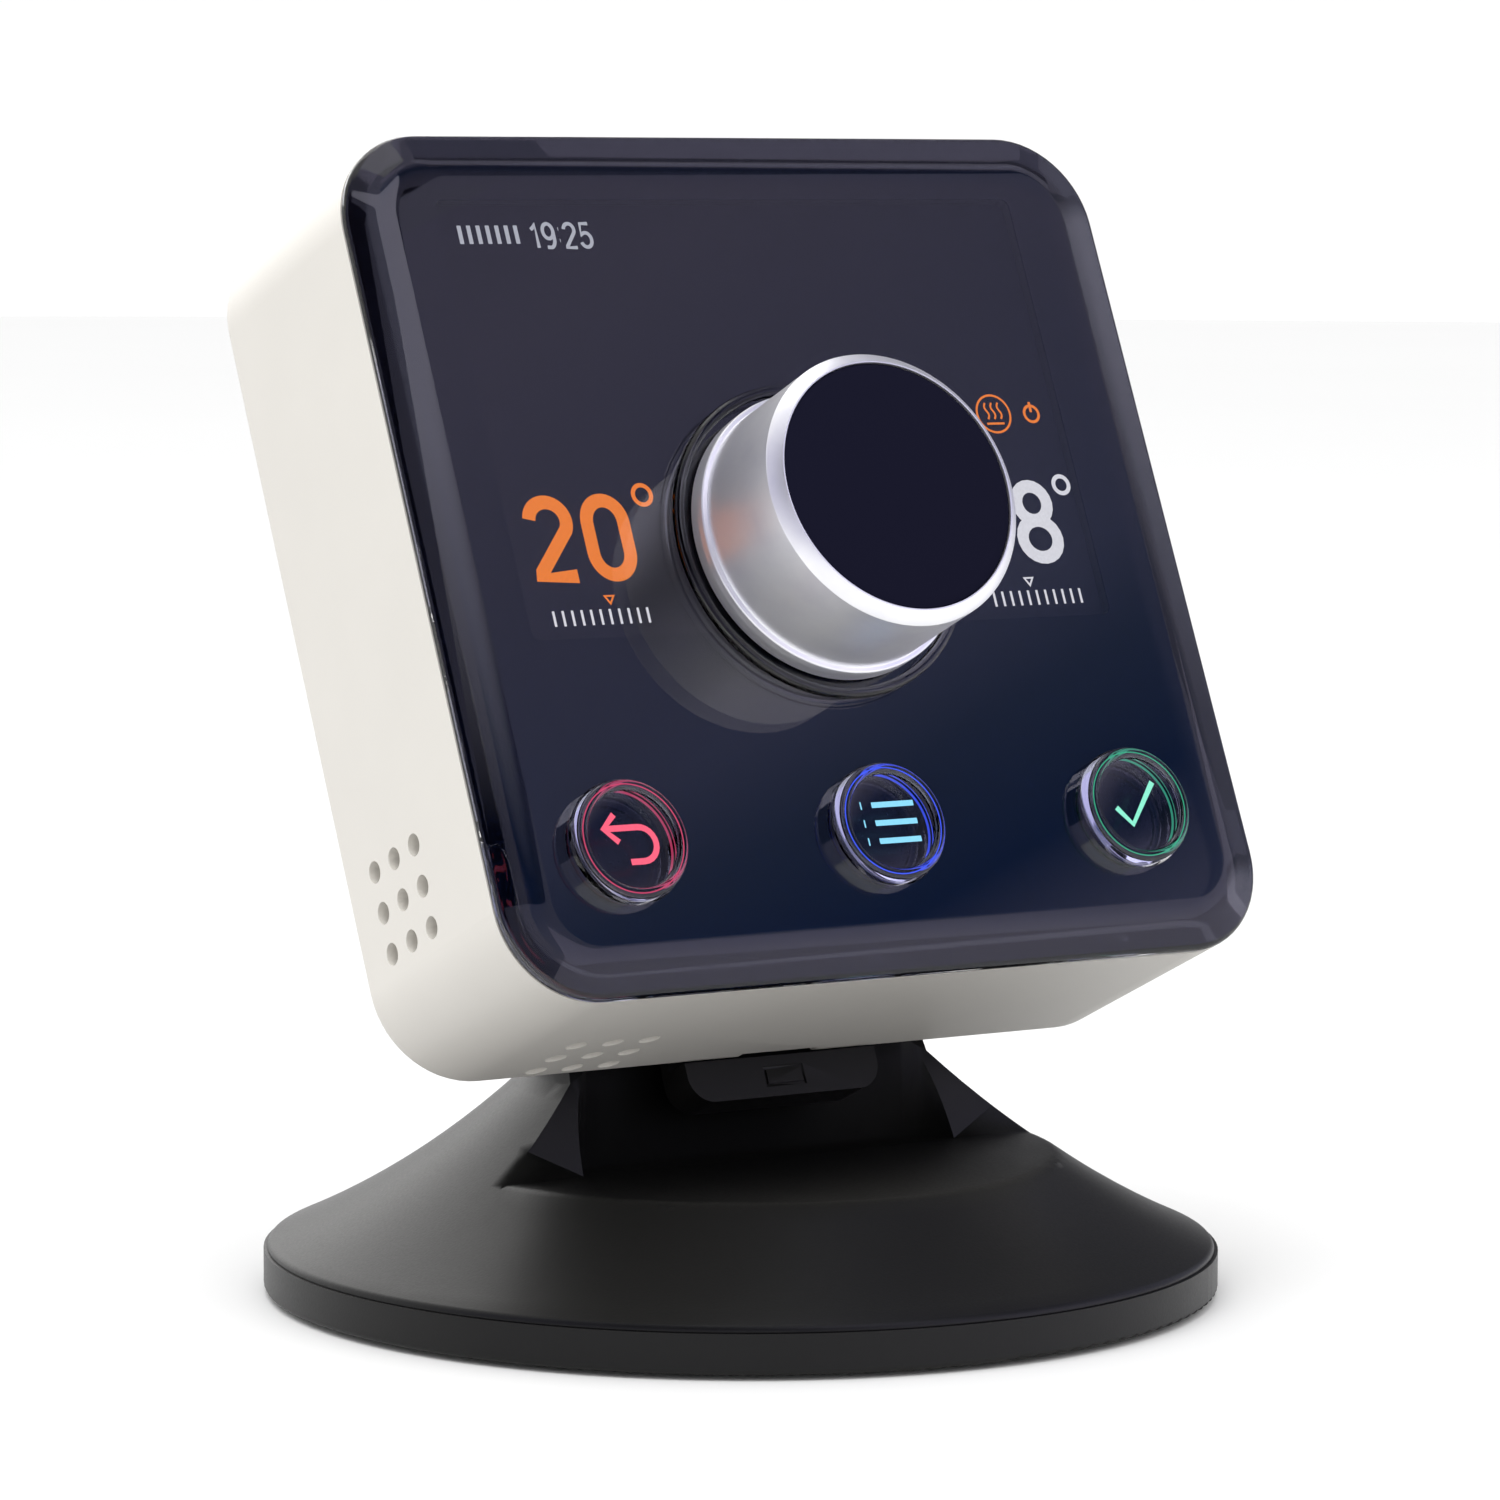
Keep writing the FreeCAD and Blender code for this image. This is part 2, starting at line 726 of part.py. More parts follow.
def dial_cap():
    """Dark gloss disc set in the dial's front."""
    r = dial_r - dial_wall - cap_seam
    top = dial_front - cap_sunk
    plate = disc(r, top - cap_t, top)
    return plate.makeFillet(cap_round, edges_at(plate, top))


def dial_hub():
    """Plastic core: a web behind the cap and a socket for the shaft."""
    r = dial_r - dial_wall - cap_seam
    web_top = dial_front - cap_sunk - cap_t
    web_back = web_top - hub_web
    web = disc(r, web_back, web_top)
    ring = tube(r, r - hub_ring, dial_back + 1.0, web_back + 0.1)
    socket = disc(shaft_r + hub_socket, dial_back + 3.0, web_back + 0.1)
    ribs = []
    for angle in (0, 60, 120):
        rib = box(-r + 0.4, r - 0.4, -hub_rib_t / 2, hub_rib_t / 2, web_back - hub_rib_h, web_back + 0.1)
        rib.rotate(V(0, 0, 0), V(0, 0, 1), angle)
        ribs.append(rib)
    hub = union(web, [ring, socket] + ribs)
    return hub.cut(shaft_shape(shaft_fit))


def shaft_shape(grow):
    """Encoder shaft with its flat."""
    top = dial_front - cap_sunk - cap_t - 1.0
    shaft = disc(shaft_r + grow, board_z + 1.2, top)
    flat = box(shaft_r - shaft_flat, shaft_r + 2, -shaft_r - 1, shaft_r + 1, bush_out + 0.8, top + 1)
    return shaft.cut(flat)


def encoder_shaft():
    """Shaft that turns with the dial."""
    return shaft_shape(0.0)


# ---------------------------------------------------------------- mount plate
def plate_screw_places():
    """Screws that fix the mount plate to the stand's seat."""
    top = seat_centre_y() + seat_h / 2.0 - seat_screw_top
    bottom = seat_centre_y() - seat_h / 2.0 + seat_screw_low
    x = seat_w / 2.0 - seat_screw_side
    return [(-x, top), (x, top), (-x, bottom), (x, bottom)]


def seat_centre_y():
    """Height of the seat pad's centre in the head frame."""
    return plate_bottom + seat_low + seat_h / 2.0


def mount_plate():
    """Black plate between stand and head, with rim, pegs and latch ears."""
    plate = slab(plate_w, plate_h, seat_z, plate_face_z, plate_corner, 0, plate_cy)
    well = slab(plate_w - 2 * plate_rib, plate_h - 2 * plate_rib, seat_z + plate_web, back_z + 1,
                plate_corner - plate_rib, 0, plate_cy)
    plate = plate.cut(well)
    bars = []
    end = plate_w / 2.0 - 1.0
    for y in (plate_cy - bar_rise, plate_cy + bar_rise):
        bars.append(box(-end, end, y - bar_t / 2, y + bar_t / 2, seat_z + 1, plate_face_z))
    pegs = []
    for x, y in peg_places():
        peg = box(x - peg_w / 2, x + peg_w / 2, y - peg_h / 2, y + peg_h / 2, seat_z + 1, back_z + peg_in)
        pegs.append(peg.makeChamfer(peg_lead, edges_at(peg, back_z + peg_in)))
    plate = union(plate, bars + pegs)
    slot_w = tab_w / 2.0 + tab_slot
    cutters = [box(-slot_w, slot_w, plate_bottom - 1, plate_bottom + latch_room, seat_z - 1, back_z + 1)]
    for x, y in plate_screw_places():
        cutters.append(disc(screw_r + part_gap, seat_z - 1, back_z, x, y))
    for side in (-1, 1):
        x = side * wall_slot_x
        cutters.append(slab(wall_slot_w, wall_slot_h, seat_z - 1, back_z, 0.45 * wall_slot_w, x, plate_cy))
    cutters.append(pin_rod(hinge_r, slot_w + 3.0))
    return minus(plate, cutters)


def pin_rod(radius, reach):
    """Rod along the latch's hinge line."""
    return Part.makeCylinder(radius, 2 * reach, V(-reach, hinge_y, hinge_z), V(1, 0, 0))


def latch_pin():
    """Steel pin that the latch turns on."""
    return pin_rod(hinge_r, tab_w / 2.0 + 3.5)


def release_latch():
    """Release tab under the head with its catch and hinge barrel."""
    w = tab_w / 2.0
    front = back_z + tab_front
    top = -half - tab_gap
    low = -half - tab_drop
    rear = seat_z + 1.0
    tab = box(-w, w, low, top, rear, front)
    lower = []
    for edge in tab.Edges:
        bounds = edge.BoundBox
        if bounds.ZLength > 1.0 and abs(bounds.YMin - low) < 0.01:
            lower.append(edge)
    tab = tab.makeFillet(tab_corner, lower)
    tab = tab.cut(box(-w + tab_wall, w - tab_wall, low + 1.8, top + 1, rear + tab_wall, front - tab_wall))
    arm = box(-w, w, top - 0.6, hinge_y + 1.4, hinge_z - 0.8, hinge_z + 0.8)
    barrel = Part.makeCylinder(barrel_r, 2 * w, V(-w, hinge_y, hinge_z), V(1, 0, 0))
    latch = union(tab, [arm, barrel])
    m = mark_w / 2.0
    mark_low = low + 1.1
    mark_top = mark_low + mark_h
    inside = m - mark_line
    island = box(-inside, inside, mark_low + mark_line, mark_top - mark_line, front - 1, front + 2)
    mark = box(-m, m, mark_low, mark_top, front - mark_deep, front + 1).cut(island)
    return latch.cut(pin_rod(hinge_r + pin_fit, w + 1)).cut(mark)


def latch_spring():
    """Leaf that pushes the latch back up."""
    w = leaf_spring_half
    y0 = hinge_y + barrel_r + 0.2
    return box(-w, w, y0, plate_bottom + latch_room, seat_z + 0.9, seat_z + 0.9 + leaf_t)


def plate_screws():
    """Screws through the plate into the seat."""
    head = seat_z + plate_web + screw_head_h
    return group([screw(x, y, head, seat_z - screw_bite + 0.4) for x, y in plate_screw_places()])


# ---------------------------------------------------------------- stand
def seat_frame(shape):
    """Move a shape from the head frame to the row frame."""
    shape.Placement = HEAD.multiply(shape.Placement)
    return shape


def flank_middle():
    """Middle of the concave flank, below the straight line between its ends."""
    run = flank_low[0] - flank_high[0]
    rise = flank_high[1] - flank_low[1]
    length = math.hypot(run, rise)
    r = (flank_low[0] + flank_high[0]) / 2.0 - flank_sag * rise / length
    z = (flank_low[1] + flank_high[1]) / 2.0 - flank_sag * run / length
    return r, z


def cone_solid(drop):
    """Solid of revolution under the flank, lowered by drop."""
    points = [V(r, 0, z - drop) for r, z in (flank_low, flank_middle(), flank_high)]
    foot = V(flank_low[0], 0, min(rim_top, points[0].z - 0.1))
    edges = [Part.Arc(*points).toShape()]
    edges.append(Part.LineSegment(points[2], V(0, 0, points[2].z)).toShape())
    edges.append(Part.LineSegment(V(0, 0, points[2].z), V(0, 0, foot.z)).toShape())
    edges.append(Part.LineSegment(V(0, 0, foot.z), foot).toShape())
    edges.append(Part.LineSegment(foot, points[0]).toShape())
    return Part.Face(Part.Wire(edges)).revolve(V(0, 0, 0), V(0, 0, 1), 360)


def neck():
    """Loft from the cone up to the back of the seat pad."""
    ellipse = Part.Ellipse(V(0, 0, 0), seat_w / 2.0 - 6.0, seat_h / 2.0 - 2.5)
    top = Part.Wire(ellipse.toShape())
    top.translate(V(0, seat_centre_y(), seat_z - seat_t * 0.6))
    top = seat_frame(top)
    foot = Part.Wire(Part.makeCircle(neck_r, V(0, 0, neck_z)))
    return Part.makeLoft([foot, top], True, True)


def in_front_of_seat(grow):
    """Space ahead of the seat plane and above the shelf."""
    big = 200.0
    ahead = seat_frame(box(-big, big, -big, big, seat_z - grow, big))
    return ahead.common(box(-big, big, -big, big, shelf_z - grow, big))


def finger_pocket(grow):
    """Upright pocket under the release tab."""
    w = pocket_w / 2.0 + grow
    back_y = seat_foot_y + pocket_depth + grow
    pocket = box(-w, w, -rim_r, back_y, shelf_z - grow, face)
    corners = []
    for edge in pocket.Edges:
        bounds = edge.BoundBox
        if bounds.ZLength > 10 and abs(bounds.YMin - back_y) < 0.01:
            corners.append(edge)
    return pocket.makeFillet(pocket_corner, corners)


def base_boss_places():
    """Screw bosses that join shell and base cover."""
    step = base_boss_circle * math.sqrt(0.5)
    return corners_xy(step, step)


def stand_shell():
    """Moulded cone with the seat pad, shelf and finger pocket."""
    pad = seat_frame(slab(seat_w, seat_h, seat_z - seat_t, seat_z, seat_corner, 0, seat_centre_y()))
    body = cone_solid(0.0)
    body = body.makeFillet(shoulder, edges_at(body, flank_low[1]))
    body = minus(body.fuse(neck()).fuse(pad), [in_front_of_seat(0.0), finger_pocket(0.0)])
    crease = [e for e in edges_at(body, shelf_z) if e.BoundBox.YMin < seat_foot_y - 10.0]
    body = body.makeFillet(shelf_blend, crease)
    drop = shell_wall * 1.2
    hollow = cone_solid(drop).common(box(-rim_r, rim_r, -rim_r, rim_r, rim_top - 1.0, flank_high[1]))
    hollow = minus(hollow, [in_front_of_seat(shell_wall), finger_pocket(shell_wall)])
    bosses = []
    for x, y in base_boss_places():
        boss = disc(base_boss_r, boss_foot(), shelf_z, x, y)
        bosses.append(boss.common(body.fuse(disc(base_boss_r, boss_foot(), rim_top + 0.5, x, y))))
    lip = tube(rim_r - shell_wall - part_gap, rim_r - 2 * shell_wall, rim_top - lip_h, rim_top + 0.3)
    shell = body.cut(hollow)
    for piece in bosses + [lip]:
        shell = shell.fuse(piece)
    cutters = [disc(screw_r, boss_foot() - 1, boss_foot() + 7.0, x, y) for x, y in base_boss_places()]
    for x, y in plate_screw_places():
        cutters.append(seat_frame(disc(screw_r, seat_z - screw_bite, seat_z + 1, x, y)))
    return minus(shell, cutters)


def boss_foot():
    """Height where the shell's bosses meet the cover's."""
    return pad_show + cover_t + 1.6


def base_cover():
    """Lower ring and floor, with screw cups and the ballast's locating rib."""
    floor_top = pad_show + cover_t
    cover = disc(rim_r, pad_show, rim_top)
    cover = cover.makeFillet(0.5, edges_at(cover, pad_show))
    cover = cover.cut(disc(rim_r - shell_wall, floor_top, rim_top + 1))
    cups = [disc(screw_head_r + 2.0, floor_top - 0.5, boss_foot(), x, y) for x, y in base_boss_places()]
    rib_r = ballast_r + ballast_rib_gap
    rib = tube(rib_r + ballast_rib_t, rib_r, floor_top - 0.5, floor_top + ballast_rib_h)
    cover = union(cover, cups + [rib])
    recess_top = pad_t
    cutters = [disc(rim_r - pad_inset + part_gap, pad_show - 1, recess_top)]
    for x, y in base_boss_places():
        cutters.append(disc(screw_head_r + part_gap, 0, recess_top + screw_head_h + 0.2, x, y))
        cutters.append(disc(screw_r + part_gap, 0, boss_foot() + 1, x, y))
    for x, y in ballast_screw_places():
        cutters.append(disc(screw_r, recess_top + 0.4, floor_top + 1, x, y))
    return minus(cover, cutters)


def foot_pad():
    """Rubber disc that the stand rests on and that hides the base screws."""
    pad = disc(rim_r - pad_inset, 0, pad_t)
    return pad.makeFillet(0.3, edges_at(pad, 0))


def ballast_screw_places():
    """Screws that hold the ballast to the cover."""
    r = ballast_r - ballast_screw_in
    return [(r * math.cos(math.radians(a)), r * math.sin(math.radians(a))) for a in (90, 210, 330)]


def ballast():
    """Steel weight."""
    z0 = pad_show + cover_t
    weight = disc(ballast_r, z0, z0 + ballast_h)
    weight = weight.makeChamfer(ballast_edge, edges_at(weight, z0 + ballast_h))
    return minus(weight, [disc(screw_r + part_gap, 0, 30, x, y) for x, y in ballast_screw_places()])


def ballast_screws():
    """Long screws through the ballast."""
    head = pad_show + cover_t + ballast_h + screw_head_h
    return group([screw(x, y, head, pad_t + 0.5) for x, y in ballast_screw_places()])


def base_screws():
    """Screws from below into the shell's bosses."""
    head = pad_t + 0.2
    return group([screw(x, y, head, boss_foot() + 6.0) for x, y in base_boss_places()])


# ---------------------------------------------------------------- assembly
def head_nodes():
    """Every still piece of the head."""
    yield "front_lens", front_lens()
    yield "lens_mask", lens_mask()
    yield "front_frame", front_frame()
    yield "lcd_panel", lcd_panel()
    yield "backlight", backlight()
    yield "display_flex", display_flex()
    yield "rear_housing", rear_housing()
    yield "housing_screws", housing_screws()
    yield "main_board", main_board()
    yield "board_screws", board_screws()
    yield "board_chips", chips()
    yield "radio_module", radio_module()
    yield "status_leds", status_leds()
    yield "temperature_sensor", temperature_sensor()
    yield "rotary_encoder", rotary_encoder()
    yield "encoder_nut", encoder_nut()
    for index, y in enumerate(cell_rows()):
        yield "battery_cell_" + str(index + 1), cell(y, index % 2 == 1)
    yield "battery_plates", battery_plates()
    yield "battery_springs", battery_springs()
    for name, x in button_places():
        yield name + "_switch", tact_switch(x)


def moving_head_nodes():
    """Buttons and dial."""
    for name, x in button_places():
        yield name + "_button_cap", button_cap(x)
        yield name + "_button_icon", button_icon(x)
        yield name + "_button_plunger", button_plunger(x)
    yield "dial_sleeve", dial_sleeve()
    yield "dial_cap", dial_cap()
    yield "dial_hub", dial_hub()
    yield "encoder_shaft", encoder_shaft()


def plate_nodes():
    """Mount plate and release latch, drawn in the head frame."""
    yield "mount_plate", mount_plate()
    yield "plate_screws", plate_screws()
    yield "latch_pin", latch_pin()
    yield "latch_spring", latch_spring()
    yield "release_latch", release_latch()


def stand_nodes():
    """Stand, drawn in the row frame."""
    yield "stand_shell", stand_shell()
    yield "base_cover", base_cover()
    yield "ballast_weight", ballast()
    yield "ballast_screws", ballast_screws()
    yield "base_screws", base_screws()
    yield "foot_pad", foot_pad()


if __name__ == "__main__":
    os.makedirs("parts", exist_ok=True)
    for name, shape in stand_nodes():
        save(name, shape)
    for nodes in (plate_nodes(), head_nodes(), moving_head_nodes()):
        for name, shape in nodes:
            save(name, shape, in_head=True)
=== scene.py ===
"""Looks of a room thermostat on its round desk stand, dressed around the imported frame.

Lengths are in metres.  Pieces of the head are drawn in head coordinates (x to the
right, y up the display, z out of it, from the centre of the front's seam) and then
set into the row frame.
"""
import sys
import json
import logging
import math
from dataclasses import dataclass, field
from enum import Enum
from typing import Dict, Iterable, List, Optional, Sequence, Tuple

import bmesh
import bpy
from mathutils import Matrix, Vector


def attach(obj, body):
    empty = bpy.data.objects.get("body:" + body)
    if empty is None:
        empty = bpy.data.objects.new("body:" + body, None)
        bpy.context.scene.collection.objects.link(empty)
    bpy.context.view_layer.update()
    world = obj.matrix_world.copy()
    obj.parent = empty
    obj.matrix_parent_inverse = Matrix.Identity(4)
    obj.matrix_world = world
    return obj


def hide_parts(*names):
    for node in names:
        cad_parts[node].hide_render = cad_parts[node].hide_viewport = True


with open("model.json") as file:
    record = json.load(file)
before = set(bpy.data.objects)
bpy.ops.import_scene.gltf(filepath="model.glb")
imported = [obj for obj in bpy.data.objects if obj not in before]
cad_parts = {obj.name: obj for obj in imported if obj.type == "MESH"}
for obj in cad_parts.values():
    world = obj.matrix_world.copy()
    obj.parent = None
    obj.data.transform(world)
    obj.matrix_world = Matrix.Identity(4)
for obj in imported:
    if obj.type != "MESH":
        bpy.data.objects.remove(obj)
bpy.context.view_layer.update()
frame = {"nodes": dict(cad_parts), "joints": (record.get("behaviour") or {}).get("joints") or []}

MM = 0.001
LOG = logging.getLogger("thermostat")
Colour = Tuple[float, float, float]
Point = Tuple[float, float]
Stops = Sequence[Tuple[float, Colour]]
Socket = bpy.types.NodeSocket
Piece = bpy.types.Object
Material = bpy.types.Material


class Body(str, Enum):
    """The moving bodies that pieces ride on."""

    STAND = "stand"
    LATCH = "latch"
    HEAD = "head"
    DIAL = "dial"
    BACK = "back_button"
    MENU = "menu_button"
    TICK = "tick_button"


class Sign(Enum):
    """Lit sign of a button."""

    BACK = "back"
    MENU = "menu"
    TICK = "tick"


# ------------------------------------------------------------------ places
def joint_named(name: str) -> dict:
    """The record's joint of that name.

    Args:
        name: a joint's name.

    Returns:
        The joint's entry.
    """
    return next(joint for joint in frame["joints"] if joint["name"] == name)


def head_matrix(lens_height: float) -> Matrix:
    """Place of the head's own axes in the row frame.

    Args:
        lens_height: height of the dial joint's point above the seam.

    Returns:
        The matrix that takes head coordinates to the row frame.
    """
    turn = joint_named("dial_turn")
    out = Vector(turn["axis"]).normalized()
    right = Vector((1.0, 0.0, 0.0))
    up = out.cross(right)
    origin = Vector(turn["pos_m"]) - out * lens_height
    matrix = Matrix((right, up, out)).transposed().to_4x4()
    matrix.translation = origin
    return matrix


LENS_HEIGHT = 2.6 * MM
HEAD = head_matrix(LENS_HEIGHT)


# ------------------------------------------------------------------ shader trees
class Shader:
    """A material's node tree around one Principled shader."""

    def __init__(self, name: str) -> None:
        """Makes an empty tree with its shader and output.

        Args:
            name: the material's name.
        """
        self.material = bpy.data.materials.new(name)
        self.material.use_nodes = True
        self.nodes = self.material.node_tree.nodes
        self.links = self.material.node_tree.links
        self.nodes.clear()
        output = self.nodes.new("ShaderNodeOutputMaterial")
        self.shader = self.nodes.new("ShaderNodeBsdfPrincipled")
        self.links.new(self.shader.outputs["BSDF"], output.inputs["Surface"])
        self.coordinates = self.nodes.new("ShaderNodeTexCoord").outputs["Object"]

    def set(self, **values: float) -> None:
        """Sets the shader's own sockets; underscores stand for spaces."""
        for key, value in values.items():
            self.shader.inputs[key.replace("_", " ")].default_value = value

    def colour(self, rgb: Colour) -> None:
        """Sets one flat base colour."""
        self.shader.inputs["Base Color"].default_value = (*rgb, 1.0)

    def feed(self, socket: str, source: Socket) -> None:
        """Links a source to one of the shader's sockets."""
        self.links.new(source, self.shader.inputs[socket])

    def node(self, kind: str, source: Socket, entry: str = "Vector", **values: object) -> bpy.types.Node:
        """New node fed by a source.

        Args:
            kind: the node's type.
            source: what feeds it.
            entry: the input that it feeds.
            values: other inputs; underscores stand for spaces.

        Returns:
            The node.
        """
        node = self.nodes.new("ShaderNode" + kind)
        for key, value in values.items():
            node.inputs[key.replace("_", " ")].default_value = value
        self.links.new(source, node.inputs[entry])
        return node

    def in_head(self) -> Socket:
        """Object coordinates turned and shifted into the head's own axes."""
        back = HEAD.inverted()
        place = {"Location": back.translation, "Rotation": back.to_euler("XYZ")}
        return self.node("Mapping", self.coordinates, **place).outputs["Vector"]

    def stretch(self, source: Socket, scale: Colour) -> Socket:
        """Coordinates scaled by a different amount along each axis."""
        return self.node("Mapping", source, Scale=scale).outputs["Vector"]

    def axis(self, source: Socket, name: str) -> Socket:
        """The X, Y or Z part of a vector."""
        return self.node("SeparateXYZ", source).outputs[name]

    def noise(self, source: Socket, grain: float, detail: float = 3.0) -> Socket:
        """Noise whose features are about one grain, in metres, across."""
        return self.node("TexNoise", source, Scale=1.0 / grain, Detail=detail).outputs["Fac"]

    def ramp(self, source: Socket, stops: Stops) -> Socket:
        """Colour ramp over a factor.

        Args:
            source: factor from 0 to 1.
            stops: positions and colours, low to high.

        Returns:
            The colour.
        """
        node = self.node("ValToRGB", source, "Fac")
        elements = node.color_ramp.elements
        while len(elements) < len(stops):
            elements.new(0.5)
        for element, (position, rgb) in zip(elements, stops):
            element.position = position
            element.color = (*rgb, 1.0)
        return node.outputs["Color"]

    def spread(self, source: Socket, low: Point, high: Point) -> Socket:
        """Maps a range of values onto another.

        Args:
            source: the value.
            low: input value and the output there.
            high: input value and the output there.

        Returns:
            The mapped value, clamped.
        """
        ends = {"From_Min": low[0], "From_Max": high[0], "To_Min": low[1], "To_Max": high[1]}
        return self.node("MapRange", source, "Value", **ends).outputs["Result"]

    def bump(self, height: Socket, depth: float) -> None:
        """Feeds a height, its full range that deep in metres, to the shader's normal."""
        node = self.node("Bump", height, "Height", Distance=depth, Strength=1.0)
        self.feed("Normal", node.outputs["Normal"])

    def clouded(self, source: Socket, rgb: Colour, dark: float, light: float) -> None:
        """Feeds a base colour that a factor makes darker and lighter."""
        self.feed("Base Color", self.ramp(source, [(0.3, scaled(rgb, dark)), (0.7, scaled(rgb, light))]))

    def rough(self, source: Socket, low: Point, high: Point) -> None:
        """Feeds a roughness that a factor spreads between two ends."""
        self.feed("Roughness", self.spread(source, low, high))


def scaled(rgb: Colour, factor: float) -> Colour:
    """A colour made lighter or darker, no channel over 1."""
    return tuple(min(1.0, channel * factor) for channel in rgb)


@dataclass(frozen=True)
class Finish:
    """A named finish, which each kind paints in its own way."""

    name: str

    def paint(self, shader: Shader) -> None:
        """Sets up the shader."""

    def build(self) -> Material:
        """Makes the material."""
        shader = Shader(self.name)
        self.paint(shader)
        return shader.material


@dataclass(frozen=True)
class MouldedPlastic(Finish):
    """Injection-moulded plastic with a fine spark-eroded texture."""

    colour: Colour
    roughness: float = 0.45
    grain: float = 0.25 * MM
    depth: float = 0.01 * MM
    mottle: float = 0.03
    specular: float = 0.5
    cloud: float = 14.0 * MM
    swing: float = 0.04

    def paint(self, shader: Shader) -> None:
        """Sets up the shader."""
        fine = shader.noise(shader.coordinates, self.grain, 2.0)
        broad = shader.noise(shader.coordinates, self.cloud, 4.0)
        shader.clouded(broad, self.colour, 1.0 - self.mottle, 1.0 + self.mottle)
        shader.rough(fine, (0.2, self.roughness - self.swing), (0.8, self.roughness + self.swing))
        shader.set(Specular_IOR_Level=self.specular)
        shader.bump(fine, self.depth)


@dataclass(frozen=True)
class DarkFaceWithPaintedReflection(Finish):
    """Dark face behind the clear front with a painted reflection: its colour runs from a bottom colour to a
    top colour up the display (for the navy print, paler towards the top).
    """

    top: Colour
    bottom: Colour
    half: float = 48.0 * MM
    grain: float = 0.12 * MM

    def paint(self, shader: Shader) -> None:
        """Sets up the shader."""
        # Painted reflection: the base colour is ramped from the bottom colour to the top colour along the
        # display's height.
        factor = shader.spread(shader.axis(shader.in_head(), "Y"), (-self.half, 0.0), (self.half, 1.0))
        middle = tuple(0.5 * (a + b) for a, b in zip(self.top, self.bottom))
        stops = [(0.08, self.bottom), (0.5, middle), (0.92, self.top)]
        shader.feed("Base Color", shader.ramp(factor, stops))
        shader.rough(shader.noise(shader.coordinates, self.grain), (0.2, 0.22), (0.8, 0.3))
        shader.set(Specular_IOR_Level=0.0)


@dataclass(frozen=True)
class ClearPlastic(Finish):
    """Polished clear acrylic."""

    tint: Colour = (0.97, 0.97, 0.99)
    ior: float = 1.49
    haze: float = 0.004

    def paint(self, shader: Shader) -> None:
        """Sets up the shader."""
        shader.colour(self.tint)
        shader.set(IOR=self.ior, Transmission_Weight=1.0)
        shader.rough(shader.noise(shader.coordinates, 6.0 * MM), (0.3, 0.0), (0.7, self.haze))


@dataclass(frozen=True)
class TurnedMetal(Finish):
    """Metal with fine rings round the dial's axis, as a lathe leaves them."""

    colour: Colour
    roughness: float
    ring: float = 0.06 * MM
    depth: float = 0.002 * MM
    metallic: float = 1.0
    swing: float = 0.03

    def paint(self, shader: Shader) -> None:
        """Sets up the shader."""
        rings = shader.noise(shader.stretch(shader.in_head(), (0.02, 0.02, 1.0)), self.ring, 2.0)
        shader.clouded(shader.noise(shader.coordinates, 5.0 * MM), self.colour, 0.95, 1.04)
        shader.rough(rings, (0.2, self.roughness - self.swing), (0.8, self.roughness + self.swing))
        shader.set(Metallic=self.metallic)
        shader.bump(rings, self.depth)


@dataclass(frozen=True)
class PlatedMetal(Finish):
    """Zinc, nickel or oiled steel with faint cloudiness."""

    colour: Colour
    roughness: float = 0.32

    def paint(self, shader: Shader) -> None:
        """Sets up the shader."""
        cloud = shader.noise(shader.coordinates, 1.6 * MM, 5.0)
        scratches = shader.noise(shader.stretch(shader.coordinates, (1.0, 0.06, 1.0)), 0.1 * MM)
        shader.clouded(cloud, self.colour, 0.88, 1.08)
        shader.rough(cloud, (0.3, self.roughness), (0.7, self.roughness + 0.12))
        shader.set(Metallic=1.0)
        shader.bump(scratches, 0.003 * MM)


@dataclass(frozen=True)
class Glow(Finish):
    """Lit sign on the display or in a button."""

    colour: Colour
    strength: float = 1.0

    def paint(self, shader: Shader) -> None:
        """Sets up the shader."""
        stops = [(0.3, scaled(self.colour, 0.9)), (0.7, self.colour)]
        shader.colour((0.0, 0.0, 0.0))
        shader.feed("Emission Color", shader.ramp(shader.noise(shader.coordinates, 0.3 * MM), stops))
        shader.set(Emission_Strength=self.strength, Roughness=0.5, Specular_IOR_Level=0.0)


@dataclass(frozen=True)
class CircuitBoard(Finish):
    """Solder mask with copper tracks showing through."""

    mask: Colour
    track: Colour
    pitch: float = 9.0 * MM

    def paint(self, shader: Shader) -> None:
        """Sets up the shader."""
        shades = {"Color1": self.mask, "Color2": scaled(self.mask, 0.8), "Mortar": self.track}
        values = {key: (*rgb, 1.0) for key, rgb in shades.items()}
        values.update(Scale=1.0 / self.pitch, Mortar_Size=0.03)
        bricks = shader.node("TexBrick", shader.in_head(), **values)
        shader.feed("Base Color", bricks.outputs["Color"])
        shader.set(Roughness=0.32, Coat_Weight=0.4)
        shader.bump(bricks.outputs["Fac"], 0.02 * MM)


@dataclass(frozen=True)
class CellSleeve(Finish):
    """Printed sleeve of a battery cell: a dark band at the flat end, bare metal at the tip."""

    flip: bool
    wrap: Colour = (0.55, 0.20, 0.06)
    band: Colour = (0.03, 0.03, 0.035)
    tip: Colour = (0.75, 0.74, 0.70)
    reach: float = 25.25 * MM

    def paint(self, shader: Shader) -> None:
        """Sets up the shader."""
        end = -self.reach if self.flip else self.reach
        factor = shader.spread(shader.axis(shader.coordinates, "X"), (-end, 0.0), (end, 1.0))
        stops = [(0.0, self.band), (0.60, self.band), (0.605, self.wrap),
                 (0.955, self.wrap), (0.96, self.tip)]
        shader.feed("Base Color", shader.ramp(factor, stops))
        wrinkle = shader.noise(shader.coordinates, 2.5 * MM)
        shader.rough(wrinkle, (0.3, 0.22), (0.7, 0.32))
        shader.set(Metallic=0.65)
        shader.bump(wrinkle, 0.02 * MM)


